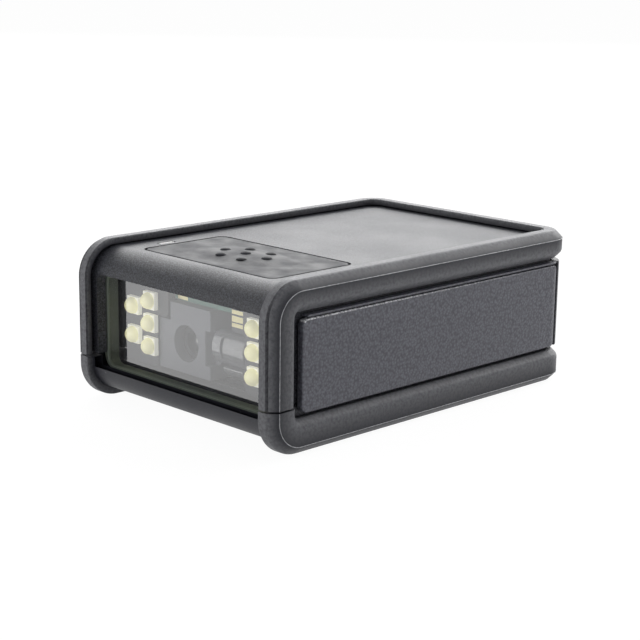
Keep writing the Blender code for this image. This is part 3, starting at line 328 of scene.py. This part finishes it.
def leathered(name, colour, painted_glint, roughness):
    """Elastomer moulded with a fine leather grain: small rounded pebbles between shallow creases."""
    made, tree = new_material(name)
    place = add(tree, "ShaderNodeTexCoord").outputs["Object"]
    bend = add(tree, "ShaderNodeTexNoise", Vector=place, Scale=1 / CREASE_BEND, Detail=2.0)
    shift = add(tree, "ShaderNodeVectorMath", {"operation": "SCALE"}, _0=bend.outputs["Color"],
                Scale=CREASE_SHIFT)
    bent = add(tree, "ShaderNodeVectorMath", {"operation": "ADD"}, _0=place, _1=shift.outputs["Vector"])
    pebbles = add(tree, "ShaderNodeTexVoronoi", {"feature": "SMOOTH_F1"}, Vector=bent.outputs["Vector"],
                  Scale=1 / PEBBLE, Smoothness=0.35)
    fine = add(tree, "ShaderNodeTexNoise", Vector=place, Scale=1 / PEBBLE_FINE, Detail=2.0)
    rise = add(tree, "ShaderNodeMapRange", Value=pebbles.outputs["Distance"], From_Min=0.15, From_Max=0.75,
               To_Min=1.0, To_Max=0.0)
    height = add(tree, "ShaderNodeMix", Factor=0.3, _2=rise.outputs["Result"], _3=fine.outputs["Fac"])
    # Painted highlight: the pebble tops are painted paler than the creases between them
    tone = add(tree, "ShaderNodeMix", {"data_type": "RGBA"}, Factor=height.outputs["Result"],
               _6=linear(colour), _7=linear(painted_glint))
    # Painted highlight with some rub along the pad's top edge
    toned = rubbed_and_highlit(tree, place, tone.outputs["Result"], PAD_RUB_AND_HIGHLIGHT_TONE, PAD_RUB_AND_HIGHLIGHT_PATCH, edge=(0.42, 0.58),
                   shares=(0.2, 1.0))
    bump = add(tree, "ShaderNodeBump", Height=height.outputs["Result"], Distance=PEBBLE_DEPTH, Strength=1.0)
    shader = add(tree, "ShaderNodeBsdfPrincipled", Base_Color=toned, Roughness=roughness,
                 Normal=bump.outputs["Normal"])
    close_material(tree, shader.outputs["BSDF"])
    return made


def plain(name, colour, roughness, metallic=0.0, grain=0.4 * MM, glow=0.0):
    """A quiet finish for the parts inside: its colour drifts a little from place to place.

    Glow is a painted glow: light that the surface sends out by itself, though no lamp in it is lit.
    """
    made, tree = new_material(name)
    place = add(tree, "ShaderNodeTexCoord").outputs["Object"]
    fine = add(tree, "ShaderNodeTexNoise", Vector=place, Scale=1 / grain, Detail=2.0)
    base = linear(colour)
    darker = (*[c * DRIFT_DARK for c in base[:3]], 1.0)
    tone = add(tree, "ShaderNodeMix", {"data_type": "RGBA"}, Factor=fine.outputs["Fac"], _6=darker, _7=base)
    bump = add(tree, "ShaderNodeBump", Height=fine.outputs["Fac"], Distance=DRIFT_DEPTH, Strength=1.0)
    shader = add(tree, "ShaderNodeBsdfPrincipled", Base_Color=tone.outputs["Result"], Roughness=roughness,
                 Metallic=metallic, Normal=bump.outputs["Normal"], Emission_Color=base,
                 Emission_Strength=glow)
    close_material(tree, shader.outputs["BSDF"])
    return made


def clear(name, tint, least, most, haze_share):
    """Clear plate or lens: see-through, with a reflection that grows as it is met more flatly.

    Only its outer faces reflect, because the inner ones would shut in the view.
    """
    made, tree = new_material(name)
    through = add(tree, "ShaderNodeBsdfTransparent", Color=linear(tint))
    haze = add(tree, "ShaderNodeBsdfDiffuse", Color=linear("#B4B6BB"))
    gloss = add(tree, "ShaderNodeBsdfGlossy", Color=(1, 1, 1, 1), Roughness=0.02)
    body = add(tree, "ShaderNodeMixShader", _0=haze_share, _1=through.outputs["BSDF"],
               _2=haze.outputs["BSDF"])
    flat = add(tree, "ShaderNodeLayerWeight", Blend=0.5)
    share = add(tree, "ShaderNodeMapRange", Value=flat.outputs["Facing"], To_Min=least, To_Max=most)
    outer = add(tree, "ShaderNodeMath", {"operation": "SUBTRACT"}, _0=1.0,
                _1=add(tree, "ShaderNodeNewGeometry").outputs["Backfacing"])
    shine = add(tree, "ShaderNodeMath", {"operation": "MULTIPLY"}, _0=share.outputs["Result"],
                _1=outer.outputs["Value"])
    whole = add(tree, "ShaderNodeMixShader", _0=shine.outputs["Value"], _1=body.outputs["Shader"],
                _2=gloss.outputs["BSDF"])
    close_material(tree, whole.outputs["Shader"])
    return made


def piece(name, bm, slot, body, *nodes, finish=None):
    """Closes off a bmesh as a smooth-shaded piece that rides on a body and stands for CAD nodes.

    It has its slot's finish, unless it is given another.
    """
    mesh = bpy.data.meshes.new(name)
    bm.to_mesh(mesh)
    bm.free()
    mesh.shade_smooth()
    mesh.set_sharp_from_angle(angle=math.radians(SMOOTH_ANGLE))
    made = bpy.data.objects.new(name, mesh)
    made.data.materials.append(finish or FINISHES[slot])
    made.modifiers.new("normals", "WEIGHTED_NORMAL").keep_sharp = True
    bpy.context.scene.collection.objects.link(made)
    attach(made, body)
    if nodes:
        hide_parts(*nodes)


def points_of(geometry):
    """The points in what an operator made."""
    return [item for item in geometry if isinstance(item, bmesh.types.BMVert)]


def edges_of(geometry):
    """The edges in what an operator made."""
    return [item for item in geometry if isinstance(item, bmesh.types.BMEdge)]


def open_edges(bm):
    """The edges round the holes of a shape."""
    return [e for e in bm.edges if e.is_boundary]


def sharp_edges(bm, angle):
    """The edges that turn by more than an angle in degrees."""
    return [e for e in bm.edges if e.is_manifold and e.calc_face_angle() > math.radians(angle)]


def join(bm, other):
    """Adds another bmesh's shape to this one."""
    mesh = bpy.data.meshes.new("joined")
    other.to_mesh(mesh)
    other.free()
    bm.from_mesh(mesh)
    bpy.data.meshes.remove(mesh)
    return bm


def face_outwards(bm):
    """Turns every face of a closed shape outwards."""
    bmesh.ops.recalc_face_normals(bm, faces=bm.faces)
    return bm


def soften(bm, edges, width, segments=2):
    """Rounds edges off."""
    bmesh.ops.bevel(bm, geom=edges, offset=width, segments=segments, profile=0.5, affect="EDGES",
                    clamp_overlap=True, material=-1)
    return bm


def round_corners(bm, verts, radius, segments):
    """Rounds corners of a flat outline off."""
    bmesh.ops.bevel(bm, geom=verts, offset=radius, segments=segments, profile=0.5, affect="VERTICES",
                    material=-1)


def draw_out(bm, step):
    """Makes a solid of a single flat face."""
    bm.faces.ensure_lookup_table()
    grown = bmesh.ops.extrude_face_region(bm, geom=[bm.faces[0]])["geom"]
    bmesh.ops.translate(bm, vec=step, verts=points_of(grown))
    return face_outwards(bm)


def score(bm, place, normal):
    """Divides every face that a plane crosses."""
    everything = bm.verts[:] + bm.edges[:] + bm.faces[:]
    bmesh.ops.bisect_plane(bm, geom=everything, plane_co=place, plane_no=normal)


def eased(node, width):
    """A CAD solid with its points merged, its flat faces joined and its sharp edges rounded off."""
    bm = bmesh.new()
    bm.from_mesh(frame["nodes"][node].data)
    bmesh.ops.remove_doubles(bm, verts=bm.verts, dist=MERGE)
    bmesh.ops.dissolve_limit(bm, angle_limit=math.radians(FLAT_ANGLE), verts=bm.verts, edges=bm.edges)
    return soften(bm, sharp_edges(bm, SHARP_ANGLE), width, segments=3)


PLACES = {
    "X": lambda a, b, along: Vector((along, a, b)),
    "Y": lambda a, b, along: Vector((a, along, b)),
    "Z": lambda a, b, along: Vector((a, b, along)),
}


def slab(axis, low, high, start, end, corner=0.0, soft=0.0, rub_and_highlight=0.0):
    """A flat block that runs from start to end along an axis, with round corners and soft rims that carry
    rub and painted highlight.
    """
    place = PLACES[axis]
    bm = bmesh.new()
    rub_and_highlight_mark = bm.verts.layers.float.new("rub_and_highlight")
    corners = [(low[0], low[1]), (high[0], low[1]), (high[0], high[1]), (low[0], high[1])]
    bm.faces.new([bm.verts.new(place(a, b, start)) for a, b in corners])
    if corner:
        round_corners(bm, list(bm.verts), corner, segments=10)
    draw_out(bm, place(0, 0, end - start))
    if soft:
        unit = place(0, 0, 1)
        rims = [e for e in bm.edges if not corner or abs((e.verts[0].co - e.verts[1].co).dot(unit)) < CLOSE]
        soften(bm, rims, soft, segments=4)
        low_end, high_end = sorted((start, end))
        for vert in bm.verts:
            if low_end + CLOSE < vert.co.dot(unit) < high_end - CLOSE:
                vert[rub_and_highlight_mark] = rub_and_highlight
    return bm


def run_on(bm, edges, step):
    """Carries a loop of edges straight on."""
    grown = bmesh.ops.extrude_edge_only(bm, edges=edges)["geom"]
    bmesh.ops.translate(bm, vec=step, verts=points_of(grown))
    return edges_of(grown)


def turn(bm, edges, pivot, axis, angle, steps):
    """Carries a loop of edges round a pivot."""
    spun = bmesh.ops.spin(bm, geom=edges, cent=pivot, axis=axis, angle=math.radians(angle), steps=steps,
                          use_merge=False, use_duplicate=False)
    return edges_of(spun["geom_last"])


def rail_section(bm, face_length, undercut, proud, place):
    """The rail's section, with its soft edges and the flash line, as a loop of edges.

    The points on both sides of the undercut are marked, to be slid later on.
    """
    lip = proud - SEAT
    full = CREST_CHAMFER + face_length + undercut
    crease, foot = (0, full - undercut), (undercut, full)
    flash = [(-BEAD_RISE, CREST_CHAMFER + share * BEAD_WIDTH) for share in (0.75, 0.25)]
    bead = [(0, CREST_CHAMFER + BEAD_WIDTH), *flash, (0, CREST_CHAMFER)]
    groove = [(inwards, CREST_CHAMFER - along) for inwards, along in GROOVE]
    hard = [(LIP_WIDTH, lip), (LEG_WIDTH, lip), (LEG_WIDTH, full)]
    soft = {
        (CREST_CHAMFER, 0): CREST_ROUND,
        (LIP_WIDTH, 0): LIP_ROUND,
        foot: FOOT_ROUND,
        crease: CREASE_ROUND,
    }
    outline = [(CREST_CHAMFER, 0), (LIP_WIDTH, 0), *hard, foot, crease, *bead, *groove]
    rub_and_highlight = bm.verts.layers.float.new("rub_and_highlight")
    slide = bm.verts.layers.float.new("slide")
    verts = [bm.verts.new(place(*point)) for point in outline]
    # The flash line carries full rub and painted highlight, and every rounded corner a little
    for vert, point in zip(verts, outline):
        vert[rub_and_highlight] = 1.0 if point in flash else 0.0
        vert[slide] = {crease: 1.0, foot: -1.0}.get(point, 0.0)
    bm.faces.new(verts)
    for vert, point in zip(verts, outline):
        if point in soft:
            before = set(bm.verts)
            round_corners(bm, [vert], soft[point], segments=5)
            for made in set(bm.verts) - before:
                made[rub_and_highlight] = ROUND_RUB_AND_HIGHLIGHT
    bm.faces.ensure_lookup_table()
    return list(bm.faces[0].edges)


def narrow_undercut(bm, pivot, drop):
    """Slides the crease of the undercut along the front posts, so that it runs out down the loop."""
    slide = bm.verts.layers.float["slide"]
    for vert in bm.verts:
        if not vert[slide] or vert.co.y > pivot.y:
            continue
        inwards = Vector((0, pivot.y - vert.co.y, min(pivot.z - vert.co.z, 0)))
        turned = math.atan2(-inwards.z, inwards.y) / (math.pi / 2)
        share = 1 - turned * turned * (3 - 2 * turned)
        if vert[slide] > 0:
            vert.co += inwards.normalized() * drop * share
        else:
            vert.co.x += math.copysign(drop * share, vert.co.x)


def rail(face_length, undercut, proud, rises, start):
    """A bumper rail, swept as one section from the seam of one front post to the seam of the other."""
    low, high = CASE
    up = 1 if rises else -1
    crest = high.z if rises else low.z
    turn_height = crest - up * LOOP_RADIUS
    bm = bmesh.new()

    def place(across, depth):
        return (high.x - across, low.y + depth, start)

    edges = rail_section(bm, face_length, undercut, proud, place)
    climb = Vector((0, 0, turn_height - start))
    front = Vector((0, low.y + LOOP_RADIUS, turn_height))
    corner = Vector((high.x - PLAN_RADIUS, high.y - PLAN_RADIUS, 0))
    run = Vector((0, corner.y - front.y, 0))
    edges = run_on(bm, edges, climb)
    edges = turn(bm, edges, front, (1, 0, 0), -up * 90, LOOP_STEPS)
    edges = run_on(bm, edges, run)
    edges = turn(bm, edges, corner, (0, 0, 1), 90, PLAN_STEPS)
    edges = run_on(bm, edges, Vector((-2 * corner.x, 0, 0)))
    edges = turn(bm, edges, Vector((-corner.x, corner.y, 0)), (0, 0, 1), 90, PLAN_STEPS)
    edges = run_on(bm, edges, -run)
    edges = turn(bm, edges, front, (1, 0, 0), up * 90, LOOP_STEPS)
    edges = run_on(bm, edges, -climb)
    bmesh.ops.edgeloop_fill(bm, edges=edges)
    if rises:
        narrow_undercut(bm, front, POST_CREASE_DROP)
    bm.verts.layers.float.remove(bm.verts.layers.float["slide"])
    return face_outwards(bm)


def window_bar():
    """The bar under the window: a bent strip along X, notched for the opening."""
    low, high = CASE
    front = low.y + BAR_PROUD
    back = front + BAR_WALL
    base = low.z + BASE_PROUD - BAR_SAG
    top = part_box("lower_bumper")[1].z - BAR_SEAM_GAP
    tongue = front + BAR_RADIUS + BAR_TONGUE
    reach = high.x - LEG_WIDTH / 2
    profile = [(front, top), (front, base), (tongue, base), (tongue, base + BAR_WALL),
               (back, base + BAR_WALL), (back, top)]
    bends = {(front, base): BAR_RADIUS, (back, base + BAR_WALL): BAR_RADIUS - BAR_WALL}
    bm = bmesh.new()
    bm.verts.layers.float.new("rub_and_highlight")
    verts = [bm.verts.new((-reach, y, z)) for y, z in profile]
    bm.faces.new(verts)
    for vert, point in zip(verts, profile):
        if point in bends:
            round_corners(bm, [vert], bends[point], segments=20)
    draw_out(bm, (2 * reach, 0, 0))

    score(bm, (0, 0, WINDOW_LOW), (0, 0, 1))
    for x in (-WINDOW_HALF, WINDOW_HALF):
        score(bm, (x, 0, 0), (1, 0, 0))
    inside = [f for f in bm.faces if abs(f.calc_center_median().x) < WINDOW_HALF
              and f.calc_center_median().z > WINDOW_LOW]
    bmesh.ops.delete(bm, geom=inside, context="FACES")
    bmesh.ops.bridge_loops(bm, edges=open_edges(bm))
    face_outwards(bm)
    corners = [e for e in bm.edges if all(abs(abs(v.co.x) - WINDOW_HALF) < CLOSE
                                          and abs(v.co.z - WINDOW_LOW) < CLOSE for v in e.verts)]
    soften(bm, corners, WINDOW_RADIUS, segments=8)
    return soften(bm, sharp_edges(bm, BAR_SHARP_ANGLE), BAR_ROUND)


def side_pad(side):
    """Grained field with a narrow rim above it, both bent round the rear corner.

    The field's top edge carries rub and painted highlight, less and less towards the rear.
    """
    low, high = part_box(f"{side}_side_pad")
    rim_low = high.z - PAD_RIM
    field_high = rim_low - PAD_RIM_GAP
    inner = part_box("upper_housing")[1].x + SEAT
    outer = max(abs(low.x), abs(high.x))
    corner = Vector((outer - PAD_BEND, CASE[1].y - PLAN_RADIUS, 0))
    rear = corner.y + PAD_BEND * math.radians(PAD_WRAP)
    bm = slab("X", (low.y, low.z), (rear, field_high), inner, outer, PAD_CORNER, PAD_ROUND, rub_and_highlight=1.0)
    rub_and_highlight_mark = bm.verts.layers.float["rub_and_highlight"]
    # Painted highlight and rub only along the top edge, fading towards the rear
    for vert in bm.verts:
        fade = min(max((PAD_RUB_AND_HIGHLIGHT_END - vert.co.y) / PAD_RUB_AND_HIGHLIGHT_FADE, 0), 1)
        vert[rub_and_highlight_mark] *= fade if vert.co.z > field_high - PAD_ROUND - PAD_RUB_AND_HIGHLIGHT_DEPTH else 0.0
    join(bm, slab("X", (low.y + PAD_RIM_START, rim_low), (rear, high.z), inner, outer - PAD_RIM_SET,
                  PAD_RIM_CORNER, PAD_RIM_ROUND))
    for step in range(PAD_BEND_STEPS):
        score(bm, (0, corner.y + (rear - corner.y) * step / PAD_BEND_STEPS, 0), (0, 1, 0))
    sign = -1 if side == "left" else 1
    for vert in bm.verts:
        angle = max(vert.co.y - corner.y, 0) / PAD_BEND
        radius = vert.co.x - corner.x
        if angle:
            vert.co.x = corner.x + radius * math.cos(angle)
            vert.co.y = corner.y + radius * math.sin(angle)
        vert.co.x *= sign
    return face_outwards(bm)


def key_point(u, v, inset):
    """Where a point of the unit square lies on the key, whose corners are round."""
    half_x, half_y, radius = KEY_WIDTH / 2 - inset, KEY_LENGTH / 2 - inset, KEY_RADIUS - inset
    x, y = abs(u) * half_x, abs(v) * half_y
    a, b = x - (half_x - radius), y - (half_y - radius)
    if a > 0 and b > 0:
        a, b = a / radius, b / radius
        x = half_x - radius + radius * a * math.sqrt(1 - b * b / 2)
        y = half_y - radius + radius * b * math.sqrt(1 - a * a / 2)
    return math.copysign(x, u), math.copysign(y, v)


def mound_rise(x, y):
    """How far the oval mound stands up at a point, with a soft foot."""
    crown = MOUND_CENTRE_DEPTH + MOUND_RISE
    spread = math.sqrt(1 - (MOUND_CENTRE_DEPTH / crown) ** 2)
    inside = 1 - (x * spread / MOUND_HALF_WIDTH) ** 2 - (y * spread / MOUND_HALF_LENGTH) ** 2
    rise = crown * math.sqrt(max(inside, 0)) - MOUND_CENTRE_DEPTH
    return (rise + math.hypot(rise, MOUND_BLEND)) / 2


def key_cap():
    """The key as a fine grid with round corners, raised to the mound, then carried over its edge and down.

    A flange under the housing holds it in.
    """
    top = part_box("upper_housing")[1].z
    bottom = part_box("trigger_key")[0].z + KEY_SKIRT_SHORT
    bm = bmesh.new()
    home = bm.verts.layers.float_vector.new("home")
    bmesh.ops.create_grid(bm, x_segments=120, y_segments=66, size=1.0)
    for vert in bm.verts:
        vert[home] = vert.co
        x, y = key_point(vert.co.x, vert.co.y, KEY_EDGE)
        vert.co = (x, y + KEY_CENTRE_Y, top + mound_rise(x, y))
    edges = open_edges(bm)
    angles = [step * math.pi / 2 / KEY_EDGE_STEPS for step in range(1, KEY_EDGE_STEPS + 1)]
    rings = [(KEY_EDGE * (1 - math.sin(angle)), KEY_EDGE * (1 - math.cos(angle))) for angle in angles]
    for inset, fall in rings + [(0.0, top - bottom)]:
        grown = bmesh.ops.extrude_edge_only(bm, edges=edges)["geom"]
        for vert in points_of(grown):
            x, y = key_point(vert[home].x, vert[home].y, inset)
            vert.co = (x, y + KEY_CENTRE_Y, top - fall)
        edges = edges_of(grown)
    bmesh.ops.edgeloop_fill(bm, edges=edges)
    bm.verts.layers.float_vector.remove(home)
    flange = slab("Z", (-FLANGE_HALF_WIDTH, KEY_CENTRE_Y - FLANGE_HALF_LENGTH),
                  (FLANGE_HALF_WIDTH, KEY_CENTRE_Y + FLANGE_HALF_LENGTH),
                  bottom - FLANGE_OVERLAP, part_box("key_board")[1].z + FLANGE_OVER_BOARD, soft=FLANGE_ROUND)
    return join(face_outwards(bm), flange)


def bump_places():
    """Seven bumps: one in the middle and six round it."""
    places = [(column * BUMP_PITCH_X, 0.0) for column in (-1, 0, 1)]
    places += [(side * BUMP_PITCH_X / 2, row * BUMP_PITCH_Y) for row in (-1, 1) for side in (-1, 1)]
    return places


def key_bumps():
    """Low domes on the mound."""
    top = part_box("upper_housing")[1].z
    bm = bmesh.new()
    for x, y in bump_places():
        place = Matrix.Translation((x, y + KEY_CENTRE_Y, top + mound_rise(x, y)))
        shape = Matrix.Diagonal((BUMP_RADIUS, BUMP_RADIUS, BUMP_RISE, 1.0))
        bmesh.ops.create_uvsphere(bm, u_segments=32, v_segments=20, radius=1.0, matrix=place @ shape)
    return bm


def contacts(places, start, end):
    """Thin contact pads or pins that all run between the same two depths."""
    bm = bmesh.new()
    bm.verts.layers.float.new("rub_and_highlight")
    for low, high in places:
        join(bm, slab("Y", low, high, start, end, soft=CONTACT_ROUND))
    return bm


def led_lamp(node):
    """Square package and its resin dome, as the CAD lamp lies."""
    low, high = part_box(node)
    front = high.y - LED_BODY_DEPTH
    bm = slab("Y", (low.x, low.z), (high.x, high.z), front, high.y, soft=LED_BODY_ROUND)
    dome = bmesh.new()
    middle = ((low.x + high.x) / 2, front, (low.z + high.z) / 2)
    shape = Matrix.Diagonal((LED_DOME_RADIUS, LED_DOME_RADIUS, LED_DOME_RISE, 1.0))
    place = Matrix.Translation(middle) @ Matrix.Rotation(math.radians(90), 4, "X") @ shape
    bmesh.ops.create_uvsphere(dome, u_segments=40, v_segments=24, radius=1.0, matrix=place)
    behind = [v for v in dome.verts if v.co.y > front + LED_DOME_SUNK]
    bmesh.ops.delete(dome, geom=behind, context="VERTS")
    bmesh.ops.edgeloop_fill(dome, edges=open_edges(dome))
    return bm, face_outwards(dome)


def shown_rays(tree):
    """One for the rays in which the surroundings are seen or mirrored, and nought for those that light."""
    rays = add(tree, "ShaderNodeLightPath")
    direct = add(tree, "ShaderNodeMath", {"operation": "MAXIMUM"}, _0=rays.outputs["Is Camera Ray"],
                 _1=rays.outputs["Is Glossy Ray"])
    every = add(tree, "ShaderNodeMath", {"operation": "MAXIMUM"}, _0=direct.outputs["Value"],
                _1=rays.outputs["Is Transmission Ray"])
    return every.outputs["Value"]


def paper_floor():
    """White floor under the case, which keeps its shadow."""
    bm = bmesh.new()
    bmesh.ops.create_grid(bm, x_segments=1, y_segments=1, size=FLOOR_REACH)
    mesh = bpy.data.meshes.new("floor")
    bm.to_mesh(mesh)
    bm.free()
    floor = bpy.data.objects.new("floor", mesh)
    bpy.context.scene.collection.objects.link(floor)
    made, tree = new_material("floor_paper")
    share = add(tree, "ShaderNodeMath", {"operation": "MULTIPLY"}, _0=shown_rays(tree), _1=FLOOR_SHOWN)
    paper = add(tree, "ShaderNodeBsdfDiffuse", Color=linear("#F2F2F2"))
    glow = add(tree, "ShaderNodeEmission", Color=(1, 1, 1, 1), Strength=FLOOR_WHITE)
    whole = add(tree, "ShaderNodeMixShader", _0=share.outputs["Value"], _1=paper.outputs["BSDF"],
                _2=glow.outputs["Emission"])
    close_material(tree, whole.outputs["Shader"])
    floor.data.materials.append(made)


def white_surroundings():
    """A world that is seen white and gives a little even light."""
    world = bpy.data.worlds.new("studio")
    bpy.context.scene.world = world
    world.use_nodes = True
    tree = world.node_tree
    tree.nodes.clear()
    level = add(tree, "ShaderNodeMapRange", Value=shown_rays(tree), To_Min=SKY_LIGHT, To_Max=SKY_SHOWN)
    sky = add(tree, "ShaderNodeBackground", Color=(1, 1, 1, 1), Strength=level.outputs["Result"])
    output = tree.nodes.new("ShaderNodeOutputWorld")
    tree.links.new(sky.outputs["Background"], output.inputs["Surface"])


def soft_box(name, place, width, height, radiance):
    """A rectangular lamp that faces the case. White paper in its full light has about its radiance."""
    lamp = bpy.data.lights.new(name, "AREA")
    lamp.shape = "RECTANGLE"
    lamp.size = width
    lamp.size_y = height
    lamp.energy = radiance * math.pi * width * height
    made = bpy.data.objects.new(name, lamp)
    made.location = place
    made.rotation_euler = (LAMP_AIM - made.location).to_track_quat("-Z", "Y").to_euler()
    bpy.context.scene.collection.objects.link(made)


def camera():
    """The camera, which looks at the case from the photograph's place."""
    azimuth, elevation, roll = (math.radians(a) for a in (VIEW_AZIMUTH, VIEW_ELEVATION, VIEW_ROLL))
    back = Vector((math.sin(azimuth) * math.cos(elevation), -math.cos(azimuth) * math.cos(elevation),
                   math.sin(elevation)))
    side = Vector((0, 0, 1)).cross(back).normalized()
    rise = back.cross(side)
    place = Vector((0, 0, VIEW_AIM_HEIGHT)) + back * VIEW_DISTANCE + side * VIEW_AIM[0] + rise * VIEW_AIM[1]
    right = side * math.cos(roll) + rise * math.sin(roll)
    upright = rise * math.cos(roll) - side * math.sin(roll)
    data = bpy.data.cameras.new("camera")
    data.sensor_width = SENSOR
    data.lens = VIEW_FOCAL * SENSOR / PICTURE_SIDE
    data.clip_start = 0.01
    data.clip_end = 20
    made = bpy.data.objects.new("camera", data)
    made.matrix_world = Matrix((
        (right.x, upright.x, back.x, place.x),
        (right.y, upright.y, back.y, place.y),
        (right.z, upright.z, back.z, place.z),
        (0, 0, 0, 1),
    ))
    bpy.context.scene.collection.objects.link(made)
    bpy.context.scene.camera = made


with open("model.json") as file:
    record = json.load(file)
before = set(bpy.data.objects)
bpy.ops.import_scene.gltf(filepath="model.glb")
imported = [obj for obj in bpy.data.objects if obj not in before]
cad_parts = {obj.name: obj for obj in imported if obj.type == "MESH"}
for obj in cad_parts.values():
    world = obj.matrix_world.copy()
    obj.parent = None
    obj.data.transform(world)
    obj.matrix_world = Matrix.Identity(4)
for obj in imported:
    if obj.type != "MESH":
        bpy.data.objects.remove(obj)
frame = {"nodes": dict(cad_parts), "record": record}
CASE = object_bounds()

paper_floor()
white_surroundings()
for name, measures in SOFT_BOXES.items():
    soft_box(name, *measures)
bpy.context.scene.view_settings.view_transform = "Standard"
camera()

# Finishes, by the record's material slots
FINISHES = {
    # Moulded elastomer: satin black that stays soft in the light, with faint painted glints in its grain,
    # pale rub and painted highlight on its flash and rounded edges, and some dust
    "bumper_rubber": moulded("moulded_elastomer", "#1E1F26", "#2B2C34", roughness=0.5, grain=0.22 * MM,
                             depth=0.008 * MM, wear_and_highlight=0.9, dust=0.1, gloss=0.38),
    # Polycarbonate from a spark-eroded tool: a dark skin with grey glints painted on the tops between its
    # pits, as painted highlight where light grazes it
    "housing_polycarbonate": moulded("eroded_polycarbonate", "#1E1F24", "#53555C", roughness=0.45,
                                     grain=0.2 * MM, depth=0.035 * MM, gloss=0.35),
    # Elastomer moulded in leather grain: dull charcoal pebbles whose tops are painted paler as highlight,
    # pale along the top edge with rub and painted highlight
    "pad_elastomer": leathered("leather_grained_elastomer", "#3B3C44", "#72737D", roughness=0.42),
    # Polycarbonate with a nearly smooth skin: duller, with faint cloudy marks from fingers and faint painted
    # glints in its grain
    "key_plastic": moulded("smooth_polycarbonate", "#292A2E", "#33343A", roughness=0.58, grain=0.5 * MM,
                           depth=0.004 * MM, gloss=0.3, cloud_size=3.5 * MM, cloud=0.1),
    # Moulded nylon: black, nearly lost behind the window
    "dark_plastic": plain("moulded_black_nylon", "#2A2B2F", roughness=0.5),
    # Moulded nylon: flat mid grey, the palest broad shape behind the window
    "engine_plastic": plain("moulded_grey_nylon", "#7E8088", roughness=0.55),
    # Closed-cell foam: grey-green, fully dull and slightly mottled
    "gasket_foam": plain("closed_cell_foam", "#7C847B", roughness=0.85, grain=0.25 * MM),
    # Polished glass plate: clear, with a pale veil where the white room lies in it
    "window_glass": clear("polished_glass", "#FFFFFF", least=0.02, most=0.57, haze_share=0.02),
    # Ground and coated glass: clear and a little blue, bright at its rim
    "lens_glass": clear("coated_glass", "#E4E8F0", least=0.06, most=0.6, haze_share=0.15),
    # Glass-fibre board under green solder mask: deep sea green with a sheen
    "circuit_board": plain("green_solder_mask", "#2F7A66", roughness=0.4),
    # Glass-fibre board under black solder mask: charcoal with a sheen
    "led_board_mask": plain("black_solder_mask", "#3E3F46", roughness=0.4),
    # Cast resin with phosphor: smooth pale yellow, with a painted glow as if lit from within
    "led_phosphor": plain("cast_phosphor_resin", "#FBF7C4", roughness=0.15, glow=0.3),
    # Moulded opal polycarbonate: smooth milky white
    "light_pipe": plain("moulded_opal_polycarbonate", "#F6F6F4", roughness=0.25),
    # Transfer-moulded epoxy: near black and matt
    "chip_moulding": plain("moulded_epoxy", "#232326", roughness=0.45),
    # Zinc-plated steel: light grey metal with soft reflections
    "zinc_steel": plain("zinc_plated_steel", "#B4B6B8", roughness=0.35, metallic=1.0),
    # Turned brass: yellow metal with soft reflections
    "brass": plain("turned_brass", "#C9A45B", roughness=0.35, metallic=1.0),
    # Laminated polyimide film: smooth amber brown
    "flex_film": plain("laminated_polyimide", "#B4702A", roughness=0.4),
}
# Moulded acrylic: clear but hazier than glass, so that the aimer's rounded body shows
AIMER_ACRYLIC = clear("moulded_acrylic", "#C9CFDA", least=0.04, most=0.5, haze_share=0.4)
# Moulded white nylon round a lamp: warm white, with a painted glow
LAMP_NYLON = plain("moulded_white_nylon", "#FFFEEE", roughness=0.4, glow=0.25)
# Gold plate: pale yellow metal
GOLD_PLATE = plain("gold_plate", "#EDE3AE", roughness=0.35, metallic=0.7)

# CAD nodes
SLOTS = {part["node"]: part["material_slot"] for part in frame["record"]["subparts"]}
for name, slot in SLOTS.items():
    materials = frame["nodes"][name].data.materials
    materials.clear()
    materials.append(FINISHES[slot])

# Bumper
upper_rail = rail(UPPER_FACE, UPPER_UNDERCUT, TOP_PROUD, True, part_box("upper_bumper")[0].z)
lower_rail = rail(LOWER_FACE, LOWER_UNDERCUT, BASE_PROUD, False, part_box("lower_bumper")[1].z)
piece("upper_rail", upper_rail, "bumper_rubber", "housing", "upper_bumper")
piece("lower_rail", join(lower_rail, window_bar()), "bumper_rubber", "housing", "lower_bumper")

# Side pads
for side in ("left", "right"):
    piece(f"{side}_grip_pad", side_pad(side), "pad_elastomer", "housing", f"{side}_side_pad")

# Trigger key
piece("key_cap", key_cap(), "key_plastic", "trigger", "trigger_key")
piece("key_bumps", key_bumps(), "key_plastic", "trigger")

# Housing, window and engine
for node, width in EDGES.items():
    finish = AIMER_ACRYLIC if node.startswith("aimer") else FINISHES[SLOTS[node]]
    piece(f"{node}_moulding", eased(node, width), SLOTS[node], "housing", node, finish=finish)

# Lamps
for number in range(1, LED_COUNT + 1):
    package, dome = led_lamp(f"led_{number}")
    piece(f"led_{number}_package", package, "led_phosphor", "housing", f"led_{number}", finish=LAMP_NYLON)
    piece(f"led_{number}_dome", dome, "led_phosphor", "housing")

# Gold contacts
board_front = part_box("right_led_board")[0].y
strips = [((STRIP_START, low), (STRIP_END, high)) for low, high in STRIP_HEIGHTS]
piece("led_board_contacts", contacts(strips, board_front - CONTACT_PROUD, board_front + CONTACT_SUNK),
      "brass", "housing", finish=GOLD_PLATE)
board_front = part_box("engine_board")[0].y
piece("engine_board_contact", contacts([PATCH], board_front - CONTACT_PROUD, board_front + CONTACT_SUNK),
      "brass", "housing", finish=GOLD_PLATE)
middles = [(number - (PIN_COUNT - 1) / 2) * PIN_PITCH for number in range(PIN_COUNT)]
pins = [((x - PIN_HALF_WIDTH, PIN_LOW), (x + PIN_HALF_WIDTH, PIN_HIGH)) for x in middles]
piece("socket_pins", contacts(pins, PIN_FRONT, PIN_BACK), "brass", "housing", finish=GOLD_PLATE)
